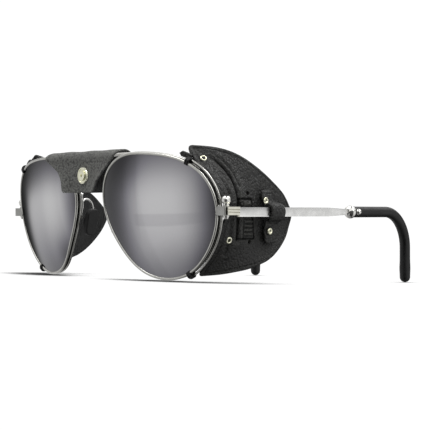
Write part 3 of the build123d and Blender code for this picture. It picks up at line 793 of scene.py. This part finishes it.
def border_distance(surface):
    """Distance from the nearest border, measured along the grid lines."""
    rows, columns = surface.shape[:2]
    down = np.cumsum(np.linalg.norm(np.diff(surface, axis=0), axis=-1), 0)
    back = np.cumsum(np.linalg.norm(np.diff(surface, axis=1), axis=-1), 1)
    down = np.concatenate([np.zeros((1, columns)), down])
    back = np.concatenate([np.zeros((rows, 1)), back], 1)
    return np.minimum(np.minimum(down, down[-1] - down), np.minimum(back, back[:, -1:] - back))


def pressed_motif(y, z):
    """Shares of 0 to 1 for the grooves, the sunk panel and the raised parts."""
    def patch(centre_y, centre_z, half_y, half_z, softness=0.09):
        outside = np.maximum(np.abs(y - centre_y) - half_y, np.abs(z - centre_z) - half_z)
        return below(outside, 0, softness)

    slant = 28.3 + np.clip(2.4 - z, -4, 12) * 0.15      # y of the sloping rear groove
    grooves = sum(patch(*groove) for groove in GROOVES) + patch(slant, -1.0, 0.26, 7.2)
    ring = 0.9 * bell(np.hypot(y - RING_Y, z - RING_Z) - RING_R, RING_WIDTH)
    cut = np.clip(grooves + ring, 0, 1)
    ribs = np.zeros_like(y)
    for i in range(RIB_COUNT):
        ribs = np.maximum(ribs, patch(RIB_Y, RIB_TOP_Z - RIB_PITCH * i, 2.30, 0.40))
    panel = patch(RIB_Y, -4.1, 2.2, 3.3, softness=0.12) * (1 - ribs)
    bands = sum(strength * patch(*band) for band, strength in RAISED_BANDS)
    beside_slant = 0.3 * patch(0.65 + slant, -2.0, 0.22, 6.0, softness=0.12)
    return cut, panel, np.clip(bands + 0.8 * ribs + beside_slant, 0, 1)


def shield_relief(surface, edge):
    """Outer relief in mm, with the shares that paint shade into hollows and highlights onto ridges.
    """
    y, z = surface[..., 1], surface[..., 2]
    creases = [(line_distance(surface, line), depth, width) for line, depth, width in CREASES]
    relief = np.zeros(edge.shape)
    for away, depth, width in creases:      # a groove with a rolled lip beside it
        relief += -depth * bell(away, width)
        relief += 0.55 * depth * bell(away - 2.1 * width, 1.3 * width)
    random = np.random.RandomState(7)
    for _ in range(26):                     # slow uneven waves
        y_rate, z_rate = random.uniform(0.08, 0.55), random.uniform(0.05, 0.4)
        phase = random.uniform(0, 6.28)
        relief += 0.035 * np.sin(y_rate * y + z_rate * z * random.choice([-1, 1]) + phase)
    hem = edge - 1.9
    relief += -0.16 * bell(hem, 0.35)

    cut, panel, raised_and_highlight = pressed_motif(y, z)
    relief += -0.50 * cut - 0.22 * panel + 0.26 * raised_and_highlight
    # painted shade: the grooves, the ring, the sunk panel, the holes, the creases and the hem are
    # darkened in colour; painted highlight on the raised parts and the crease lips
    painted_shade = np.clip(cut + 0.55 * panel, 0, 1)
    for hole_y, hole_z in HOLES:
        away = np.hypot(y - hole_y, z - hole_z)
        painted_shade = np.maximum(painted_shade, below(away, limit=0.66, width=0.08))
        relief -= 1.25 * below(away, limit=0.62, width=0.07)
    for away, depth, width in creases:
        painted_shade = np.maximum(painted_shade, 0.95 * min(1.0, depth / 0.4) * bell(away, 0.62 * width))
        lip = 0.5 * depth * bell(away - 1.8 * width, 0.9 * width)
        raised_and_highlight = np.maximum(raised_and_highlight, lip)
    painted_shade = np.maximum(painted_shade, 0.33 * bell(hem, 0.25))
    return relief, painted_shade, raised_and_highlight


def blend_shield(ob):
    """Bakes the object's transform into its mesh."""
    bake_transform(ob)


def make_shield(side, tag):
    def crowded(count):
        """0 to 1, closer together towards both ends."""
        even = np.linspace(0, 1, count)
        return 0.45 * even + 0.55 * 0.5 * (1 - np.cos(math.pi * even))

    down, back = np.meshgrid(crowded(260), crowded(236), indexing="ij")
    x, y = round_corners(2 * down - 1, 2 * back - 1)
    down, back = (x + 1) / 2, (y + 1) / 2
    surface = shield_surface(down, back)
    step = 2e-3
    along_down = (shield_surface(np.clip(down + step, 0, 1), back)
                  - shield_surface(np.clip(down - step, 0, 1), back))
    along_back = (shield_surface(down, np.clip(back + step, 0, 1))
                  - shield_surface(down, np.clip(back - step, 0, 1)))
    normals = unit(np.cross(along_down, along_back))
    normals *= np.sign(normals[..., 0].mean())

    edge = border_distance(surface)
    roll = np.clip(edge / 0.85, 0, 1)       # the rim of the leather rounds off within 0.85
    half = SHIELD_THICK / 2 * np.sqrt(np.clip(1 - (1 - roll) ** 2, 0, 1))
    relief, painted_shade, raised_and_highlight = shield_relief(surface, edge)
    fade = np.clip(edge / 0.9, 0, 1)
    relief *= fade
    middle = surface - normals * (SHIELD_THICK / 2 + 0.05)
    outer = middle + normals * (half + relief)[..., None]
    shallow = np.where(relief > -0.8, relief, -0.1)     # holes don't push the inner face out
    inner = middle - normals * (half - 0.55 * shallow * fade)[..., None]
    ob = add_sheet("leather_shield_" + tag, outer, inner, side)
    flesh = face_vectors(ob, "normal")[:, 0] * side < -0.15
    paint(ob, LEATHER, SUEDE, index=flesh.astype(int).tolist())
    for name, share in (("painted_shade", painted_shade), ("raised_and_highlight", raised_and_highlight)):
        values = np.zeros(len(ob.data.vertices))
        values[:share.size] = share.ravel()             # outer points come first
        add_attribute(ob, name, values)
    register(ob, "side_shield_" + tag)
    blend_shield(ob)


# ---------------------------------------------------------------- rivets and eyelets
RIVETS = ((21.0, 6.1), (23.4, -5.4))        # (back, up) on the temple
RIVET_OUT = 1.95
EYELETS = ((10.3, 21.7), (17.3, -8.7))      # (y, z) on the shield
# Turned sections as (radius, height); the first band is the hollow middle, painted dark as shade
RIVET_SECTION = [(0.02, 0.02), (0.45, 0.02), (0.52, 0.16), (0.66, 0.34), (0.90, 0.42),
                 (1.12, 0.36), (1.28, 0.18), (1.32, -0.02), (1.32, -0.30), (0.02, -0.32)]
EYELET_SECTION = [(0.02, -0.55), (0.55, -0.55), (0.62, -0.40), (0.64, 0.0), (0.72, 0.22),
                  (0.90, 0.33), (1.10, 0.30), (1.27, 0.16), (1.33, -0.05), (1.33, -0.30),
                  (0.9, -0.35), (0.9, -1.75), (1.15, -1.85), (1.15, -1.95), (0.7, -1.95),
                  (0.66, -0.75), (0.02, -0.75)]


def make_rivets(side, tag):
    axis = temple_point(1, 0, 0) - temple_point(0, 0, 0)
    places = [(temple_point(RIVET_OUT, back, up), axis) for back, up in RIVETS]
    ob = add_turned_rings("rivet_rings_" + tag, places, RIVET_SECTION, side)
    register(ob, "loop_rivets_" + tag, "temple_" + tag)


def make_eyelets(side, tag):
    count = 160
    down, back = np.meshgrid(np.linspace(0, 1, count), np.linspace(0, 0.5, count), indexing="ij")
    surface = shield_surface(down, back)
    places = []
    for y, z in EYELETS:        # nearest surface point as seen from the side
        nearest = np.argmin((surface[..., 1] - y) ** 2 + (surface[..., 2] - z) ** 2)
        i, j = np.clip(np.unravel_index(nearest, down.shape), 1, count - 2)
        axis = np.cross(surface[i + 1, j] - surface[i - 1, j],
                        surface[i, j + 1] - surface[i, j - 1])
        places.append((surface[i, j], axis if axis[0] > 0 else -axis))
    ob = add_turned_rings("eyelet_rings_" + tag, places, EYELET_SECTION, side)
    register(ob, "shield_eyelets_" + tag)
    blend_shield(ob)


# ---------------------------------------------------------------- straps and clips
# Strap looped over the outside of the temple, top to bottom: (out, back, up, width)
LOOP_STATIONS = [
    (0.55, 22.6, 10.3, 1.0), (0.62, 22.6, 9.9, 4.2), (0.68, 22.6, 9.0, 5.7),
    (0.8, 22.7, 7.4, 6.0), (1.15, 23.5, 5.7, 6.3), (2.3, 25.4, 4.75, 7.2),
    (3.35, 26.1, 4.05, 7.7), (3.72, 26.4, 2.9, 7.9), (3.78, 26.5, 1.85, 7.9),
    (3.72, 26.4, 0.8, 7.8), (3.4, 26.2, -0.35, 7.7), (2.4, 25.9, -1.15, 7.5),
    (1.2, 25.5, -2.1, 7.3), (0.75, 25.2, -4.0, 7.2), (0.6, 25.2, -7.0, 7.3),
    (0.5, 25.3, -8.9, 6.3), (0.45, 25.4, -9.9, 4.2), (0.45, 25.4, -10.3, 1.0)]
LOOP_THICK, LOOP_COUNT = 1.15, 110
TAB_OUT, TAB_BEHIND, TAB_WIDTH, TAB_THICK, TAB_COUNT = 1.9, 1.5, 2.1, 1.2, 30

# Section of a clip round the eyewire as (outward, behind)
CLIP_SECTION = np.array([
    (-0.62, -1.25), (-0.50, -1.72), (0.10, -1.88), (0.90, -1.90), (1.65, -1.62),
    (2.15, -1.0), (2.38, -0.2), (2.36, 0.6), (2.12, 1.25), (1.60, 1.72),
    (0.80, 1.90), (0.0, 1.84), (-0.5, 1.68), (-0.62, 1.2), (-0.45, 0.0)])
CLIP_HALF_LENGTH = 0.80
CLIP_STATIONS = (-1.0, -0.99, -0.93, -0.80, -0.5, -0.2, -0.08, 0.0,
                 0.08, 0.2, 0.5, 0.80, 0.93, 0.99, 1.0)     # shares of the half length


def make_loop(side, tag):
    out, back, up, widths = smooth_path(LOOP_STATIONS, LOOP_COUNT).T
    path = temple_point(out, back, up)
    width_dir = temple_point(0, 1, 0) - temple_point(0, 0, 0)
    tangents = unit(np.gradient(temple_point(out, 0 * out, up), axis=0))
    from_end = np.minimum(np.arange(LOOP_COUNT), np.arange(LOOP_COUNT)[::-1])
    thicks = np.clip(from_end / 4.0, 0.35, 1.0) * LOOP_THICK
    ob = add_strap("loop_leather_" + tag, path, np.tile(width_dir, (LOOP_COUNT, 1)),
                   unit(np.cross(tangents, width_dir)), widths, thicks, side)
    paint(ob, LEATHER)
    register(ob, "loop_strap_" + tag, "temple_" + tag)


def make_tab(side, tag):
    """Leather tab that reaches inwards behind the top of the eyewire."""
    angles = np.radians(np.linspace(48.0, 58.5, TAB_COUNT))
    path = rim_point(angles, TAB_OUT, TAB_BEHIND)
    width_dirs = rim_point(angles, TAB_OUT + 1, TAB_BEHIND) - path
    thick_dirs = unit(np.cross(unit(np.gradient(path, axis=0)), width_dirs))
    index = np.arange(TAB_COUNT)
    taper = np.clip(np.minimum(index + 6, TAB_COUNT - 1 - index) / 5.0, 0.25, 1.0)
    ob = add_strap("shield_tab_" + tag, path, width_dirs, thick_dirs, TAB_WIDTH * taper,
                   TAB_THICK, side)
    paint(ob, LEATHER)
    register(ob, rides="front")


def make_clip(side, tag, angle, place):
    """Folded clip that closes round the eyewire and the shield wire."""
    corners = len(CLIP_SECTION)
    closed = np.append(CLIP_SECTION, CLIP_SECTION[:1], 0)
    at = np.linspace(0, corners, 75, endpoint=False)
    section = np.stack([np.interp(at, np.arange(corners + 1), closed[:, k]) for k in (0, 1)], 1)
    for _ in range(4):
        section = (0.25 * np.roll(section, 1, 0) + 0.5 * section
                   + 0.25 * np.roll(section, -1, 0))
    middle = section.mean(0)
    centre_angle = math.radians(angle)
    centre_r = float(outline_radius(centre_angle))
    rings = []
    for station in CLIP_STATIONS:
        size = 1 - 0.16 * max(0.0, (abs(station) - 0.80) / 0.20) ** 2
        if abs(station) >= 1.0:
            size = 0.5
        size *= 1 - 0.10 * bell(station, 0.09)      # crease round the middle
        ring = middle + (section - middle) * size
        ring_angle = centre_angle + station * CLIP_HALF_LENGTH / centre_r
        rings.append(rim_point(ring_angle, ring[:, 0], ring[:, 1]))
    ends = [ring.mean(0) for ring in (rings[0], rings[-1])]
    ob = add_loft("clip_%s_%s" % (place, tag), rings, ends, side)
    paint(ob, BLACK)
    register(ob, "shield_hook_%s_%s" % (place, tag), "front")


# ---------------------------------------------------------------- ear sleeves
SLEEVE_START, SLEEVE_R = 76.95, 2.2
STRAIGHT_COUNT, BEND_COUNT, DROP_COUNT, TIP_COUNT = 40, 45, 28, 13


def make_sleeve(side, tag):
    """Rubber sleeve: straight, bent down behind the ear, with a round tip."""
    turn = np.linspace(0, math.pi / 2, BEND_COUNT + 1)[1:]
    tip = np.linspace(0, math.pi / 2, TIP_COUNT + 1)[1:]
    bend_z, tip_start = AXIS_Z - BEND_R, TIP_Z + SLEEVE_R
    back = np.concatenate([
        np.linspace(SLEEVE_START, BEND_START, STRAIGHT_COUNT),
        BEND_START + BEND_R * np.sin(turn),
        np.full(DROP_COUNT + TIP_COUNT, BEND_START + BEND_R)])
    up = np.concatenate([
        np.full(STRAIGHT_COUNT, AXIS_Z),
        bend_z + BEND_R * np.cos(turn),
        np.linspace(bend_z, tip_start, DROP_COUNT + 1)[1:],
        tip_start - SLEEVE_R * np.sin(tip)])
    arc = arc_length(np.stack([back, up], 1))
    radii = np.full(len(arc), SLEEVE_R)
    radii[-TIP_COUNT:] = SLEEVE_R * np.cos(tip)
    radii[:3] = (1.75, 2.05, 2.17)          # eased mouth
    end = arc[-TIP_COUNT]
    radii += np.where(arc < end, 0.13 * bell(arc - (end - 4.0), 2.2), 0)    # swell at the tip
    radii[-1] = 0.05
    ob = add_tube("ear_sleeve_rubber_" + tag, temple_point(AXIS_OUT, back, up), radii, side,
                  segments=40)
    paint(ob, SLEEVE)
    register(ob, "ear_sleeve_" + tag, "temple_" + tag)


# ---------------------------------------------------------------- nose cover
NOSE_Y, NOSE_Z = 0.19, 23.15        # centre of the fold
NOSE_OUTER_R, NOSE_THICK = 3.08, 1.15
# Half widths of the front and back flaps at heights from the bottom up
NOSE_HEIGHTS = (9.7, 9.78, 10.0, 10.4, 11.3, 13.7, 15.5, 18.0, 20.0, 22.0, 23.2, 24.4, 30.0)
NOSE_FRONT = (8.2, 9.2, 9.9, 10.5, 10.9, 11.8, 13.0, 15.3, 18.2, 21.5, 23.1, 23.6, 23.6)
NOSE_BACK = (5.6, 6.4, 7.0, 7.6, 8.4, 10.2, 12.4, 15.3, 18.2, 21.5, 23.1, 23.6, 23.6)
NOSE_EXTRA = ((9.7, 14.0, 18.0, 22.0), (0.6, 0.7, 0.95, 1.05))      # height, added half width
# Height, and how far the flap's sides stand away from its middle
NOSE_SPREAD = ((9.7, 11.3, 13.7, 18.0, 20.0, 23.3, 26.0), (3.4, 3.3, 2.85, 1.95, 2.1, 2.8, 2.85))
SNAP_Z = 16.45


def make_nose():
    """Leather folded over the bridge, with a flap down the front and one down the back."""
    flap_count, fold_count = 150, 46
    fold_r = NOSE_OUTER_R - NOSE_THICK / 2
    bottom = NOSE_HEIGHTS[0]
    even = np.linspace(0, 1, flap_count)
    heights = bottom + (NOSE_Z - bottom) * (0.55 * even + 0.45 * (1 - np.cos(even * math.pi / 2)))
    angles = np.linspace(math.pi, 0, fold_count + 2)[1:-1]
    normal_y = np.concatenate([np.full(flap_count, -1.0), np.cos(angles), np.ones(flap_count)])
    flat = np.zeros(flap_count)
    normal_z = np.concatenate([flat, np.sin(angles), flat])
    path_y = NOSE_Y + fold_r * normal_y
    path_z = np.concatenate([heights, NOSE_Z + fold_r * np.sin(angles), heights[::-1]])
    arc = arc_length(np.stack([path_y, path_z], 1))

    even = np.linspace(-1, 1, 181)
    share = 0.6 * even + 0.4 * np.sin(even * math.pi / 2)
    front = np.arange(len(path_z)) < flap_count + fold_count // 2
    half_width = np.where(front, np.interp(path_z, NOSE_HEIGHTS, NOSE_FRONT),
                          np.interp(path_z, NOSE_HEIGHTS, NOSE_BACK))
    half_width = (half_width + np.interp(path_z, *NOSE_EXTRA))[:, None]
    x = half_width * share
    z = path_z[:, None] + 0 * x
    # the snap draws the middle in, so the flaps stand away at their lower corners
    spread = np.interp(z, *NOSE_SPREAD) * (np.abs(x) / np.maximum(half_width, 1e-6)) ** 1.7
    spread = np.where(front[:, None], spread, 0.25 * spread)
    y = path_y[:, None] + np.clip(normal_y, -1, 1)[:, None] * spread

    from_end = np.minimum(arc, arc[-1] - arc)[:, None]
    edge = np.minimum((half_width - np.abs(x)) * 0.8, from_end)
    half = NOSE_THICK / 2 * np.sqrt(np.clip(1 - (1 - np.clip(edge / 0.6, 0, 1)) ** 2, 0, 1))
    random = np.random.RandomState(3)
    waves = sum(0.035 * np.sin(random.uniform(0.15, 0.6) * x
                               + random.uniform(0.15, 0.5) * arc[:, None]
                               + random.uniform(0, 6)) for _ in range(8))
    dimple = -0.22 * bell(np.hypot(x, z - SNAP_Z) - 3.5, 1.1)       # ring round the snap
    fold = 0.12 * bell(z - 22.8, 1.0) - 0.10 * bell(z - 21.3, 0.7)
    relief = (waves + dimple + fold) * np.clip(edge / 0.8, 0, 1)

    middle = np.stack([x, y, z], -1)
    normals = np.stack([0 * x, normal_y[:, None] + 0 * x, normal_z[:, None] + 0 * x], -1)
    ob = add_sheet("nose_cover", middle + normals * (half + relief)[..., None],
                   middle - normals * half[..., None], 1)
    offset = face_vectors(ob, "center") - stand((0, NOSE_Y, NOSE_Z))
    facing = face_vectors(ob, "normal")
    flesh = (offset[:, 1] * facing[:, 1] + np.maximum(offset[:, 2], 0) * facing[:, 2]) < -0.0001
    paint(ob, NOSE, SUEDE, index=flesh.astype(int).tolist())
    register(ob, "nose_leather", "front")
    ob.visible_glossy = False


for side, tag in SIDES:
    make_eyewire(side, tag)
    make_lens(side, tag)
    make_shield(side, tag)
    make_eyelets(side, tag)
    make_rivets(side, tag)
    make_loop(side, tag)
    make_tab(side, tag)
    make_clip(side, tag, angle=47.0, place="top")
    make_clip(side, tag, angle=-58.5, place="low")
    make_sleeve(side, tag)
make_nose()

# ---------------------------------------------------------------- CAD pieces kept as they are
# Piece: material, width of the eased edge in mm
CAD_FINISH = {
    "end_piece": (LUG, 0.12), "lock_screw": (CHROME, 0.06), "hinge_screw": (CHROME, 0.12),
    "hinge_nut": (CHROME, 0.06), "shield_wire_upper": (RIM, 0), "shield_wire_lower": (RIM, 0),
    "pad_arm": (CHROME, 0), "nose_pad": (PAD, 0.15), "temple": (TEMPLE, 0.16),
    "ferrule": (CHROME, 0.10), "sleeve_rivet": (CHROME, 0.05),
    "snap_cap": (BRASS, 0.14), "snap_back": (BRASS, 0.14), "brow_bar": (RIM, 0)}


def finish_cad_piece(ob, material, ease):
    paint(ob, material)
    shade_smooth(ob)
    ob.modifiers.new("weld", "WELD").merge_threshold = 2e-6
    if ease:
        bevel = ob.modifiers.new("ease", "BEVEL")
        bevel.width = ease / 1000
        bevel.segments = 3
        bevel.limit_method = "ANGLE"
        bevel.angle_limit = math.radians(32)
    ob.modifiers.new("split", "EDGE_SPLIT").split_angle = math.radians(38)


for name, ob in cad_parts.items():
    stem = name.removesuffix("_left").removesuffix("_right")
    if stem in CAD_FINISH:
        finish_cad_piece(ob, *CAD_FINISH[stem])

# ---------------------------------------------------------------- studio
# Brightness round the studio: degrees from -Y towards +X, brightness
AROUND = [(-180, 0.12), (-142, 0.12), (-124, 0.92), (-70, 0.90), (-54, 0.88), (-52, 0.95),
          (-44, 0.95), (-42, 1.02), (-20, 0.95), (2, 0.70), (14, 0.16), (40, 0.07),
          (66, 0.10), (80, 0.55), (92, 1.25), (125, 1.15), (150, 1.05), (162, 0.95),
          (174, 0.30), (180, 0.12)]
# Height of the direction from 0 straight down to 1 straight up, brightness
OVERHEAD = [(0.0, 0.0), (0.66, 0.0), (0.70, 1.15), (0.93, 1.3), (0.96, 0.35), (1.0, 0.3)]
WALLS = [(0.0, 0.30), (0.12, 0.45), (0.30, 0.84), (0.50, 0.86), (0.60, 0.70), (0.68, 0.22),
         (0.72, 0.0), (1.0, 0.0)]


def studio(tree, direction):
    """Soft boxes by direction: walls that vary round the studio, plus the overhead box."""
    split = add_node(tree, "SeparateXYZ")
    tree.links.new(vector_calc(tree, "NORMALIZE", direction).outputs[0], split.inputs[0])
    x, y, z = split.outputs
    turn = calc(tree, "ARCTAN2", x, calc(tree, "MULTIPLY", y, -1.0))
    turn = calc(tree, "ADD", calc(tree, "DIVIDE", turn, 2 * math.pi), 0.5)
    around = ramp(tree, turn, *(((angle + 180.0) / 360.0, tone) for angle, tone in AROUND))
    height = calc(tree, "ADD", calc(tree, "MULTIPLY", z, 0.5), 0.5)
    overhead = ramp(tree, height, *OVERHEAD)
    walls = mix_colour(tree, "MULTIPLY", 1.0, around, ramp(tree, height, *WALLS))
    return mix_colour(tree, "ADD", 1.0, walls, overhead)


def make_world():
    """The studio in reflections, an even fill for diffuse light and white for the camera."""
    world = bpy.data.worlds.new("studio")
    bpy.context.scene.world = world
    world.use_nodes = True
    tree = world.node_tree
    tree.nodes.clear()
    output = add_node(tree, "OutputWorld")
    rays = add_node(tree, "LightPath")
    coords = add_node(tree, "TexCoord")
    boxes = glow(tree, "Background", studio(tree, coords.outputs["Generated"]), strength=1.0)
    fill = glow(tree, "Background", (0.93, 0.95, 1.0, 1), strength=0.36)
    white = glow(tree, "Background", (1, 1, 1, 1), strength=1.05)
    lit = mix_shader(tree, rays.outputs["Is Diffuse Ray"], boxes, fill)
    plug(tree, output.inputs[0], mix_shader(tree, rays.outputs["Is Camera Ray"], lit, white))


def sweep_material():
    """Grey to light rays, glowing with the studio as a painted reflection to glossy rays, and
    emitted white with painted soft contact shade to the camera.
    """
    material, tree, surface, output = new_material("sweep")
    mottle = texture(tree, "Noise", object_coords(tree), Scale=40.0, Detail=3.0)
    plug(tree, surface.inputs["Base Color"],
         ramp(tree, mottle.outputs[0], (0.3, 0.50), (0.7, 0.56)))
    surface.inputs["Roughness"].default_value = 0.6
    surface.inputs["Specular IOR Level"].default_value = 0.2
    rays = add_node(tree, "LightPath")
    geometry = add_node(tree, "NewGeometry")
    onward = vector_calc(tree, "SCALE", geometry.outputs["Incoming"])
    onward.inputs["Scale"].default_value = -1.0
    # painted reflection: to glossy rays the sweep glows with the studio's colours
    boxes = glow(tree, "Emission", studio(tree, onward.outputs[0]), strength=1.0)
    lit = mix_shader(tree, rays.outputs["Is Glossy Ray"], surface.outputs[0], boxes)
    # the sweep brightens to plain white away from the glasses
    away = vector_calc(tree, "DISTANCE", geometry.outputs["Position"], (0.0, -0.012, 0.0))
    fade = ramp(tree, away.outputs["Value"], (0.0, 0.95), (0.10, 0.97), (0.16, 1), (1.0, 1))
    # painted shadow: to the camera, emitted white darkened by ambient occlusion near the contacts
    contact = add_node(tree, "AmbientOcclusion", samples=24)
    contact.inputs["Distance"].default_value = 0.023
    painted_contact_shade = ramp(tree, contact.outputs["AO"], (0.30, 0.008), (0.52, 0.03), (0.66, 0.14),
                 (0.78, 0.50), (0.88, 0.93), (0.95, 1.0))
    white = glow(tree, "Emission", painted_contact_shade, strength=1.05)
    seen = calc(tree, "MULTIPLY", rays.outputs["Is Camera Ray"], fade)
    plug(tree, output.inputs[0], mix_shader(tree, seen, lit, white))
    return material


def make_ground():
    half, z = 6.0, -0.00006
    material = sweep_material()
    data = bpy.data.meshes.new("ground")
    corners = [(-half, -half, z), (half, -half, z), (half, half, z), (-half, half, z)]
    data.from_pydata(corners, [], [(0, 1, 2, 3)])
    ob = bpy.data.objects.new("ground", data)
    bpy.context.scene.collection.objects.link(ob)
    ob.data.materials.append(material)


def make_light(name, place, target, size, power):
    """Rectangular light in metres and watts, facing its target."""
    light = bpy.data.lights.new(name, "AREA")
    light.shape = "RECTANGLE"
    light.size, light.size_y = size
    light.energy = power
    ob = bpy.data.objects.new(name, light)
    bpy.context.scene.collection.objects.link(ob)
    ob.location = place
    direction = Vector(target) - Vector(place)
    ob.rotation_euler = direction.to_track_quat("-Z", "Y").to_euler()


make_world()
make_ground()
make_light("key", place=(-0.16, -0.36, 0.85), target=(0.0, -0.02, 0.02), size=(0.45, 0.45),
           power=2.6)
make_light("side", place=(0.75, -0.11, 0.45), target=(0.05, -0.02, 0.02), size=(0.4, 0.5),
           power=1.2)
make_light("rear", place=(0.22, 0.42, 0.80), target=(0.0, -0.02, 0.02), size=(0.28, 0.28),
           power=3.4)

# ---------------------------------------------------------------- camera
# The camera's right, up and backward directions in the wearing frame, and its place in mm
CAMERA_AXES = np.array([
    (0.6191943076817604, 0.7852339096585713, -0.0024731471489179064),
    (0.0016303650366066335, 0.001863937353810028, 0.9999969338189936),
    (0.7852361117806242, -0.6191964412525768, -0.00012607851251069394)])
CAMERA_PLACE = (496.9521218216475, -328.5554709457325, 0.6986479021707619)
SENSOR_WIDTH, FOCAL_LENGTH = 36.0, 125.511907


def make_camera():
    data = bpy.data.cameras.new("camera")
    data.sensor_width = SENSOR_WIDTH
    data.sensor_fit = "HORIZONTAL"
    data.lens = FOCAL_LENGTH
    data.clip_start, data.clip_end = 0.01, 20
    camera = bpy.data.objects.new("camera", data)
    bpy.context.scene.collection.objects.link(camera)
    cos, sin = math.cos(STAND_TILT), math.sin(STAND_TILT)
    lean = np.array([[1, 0, 0], [0, cos, -sin], [0, sin, cos]])
    pose = Matrix((lean @ CAMERA_AXES.T).tolist()).to_4x4()
    pose.translation = Vector(stand(CAMERA_PLACE).tolist())
    camera.matrix_world = pose
    bpy.context.scene.camera = camera


make_camera()
view = bpy.context.scene.view_settings
view.view_transform = "Standard"
view.look = "None"
view.exposure = 0.0
view.gamma = 1.0
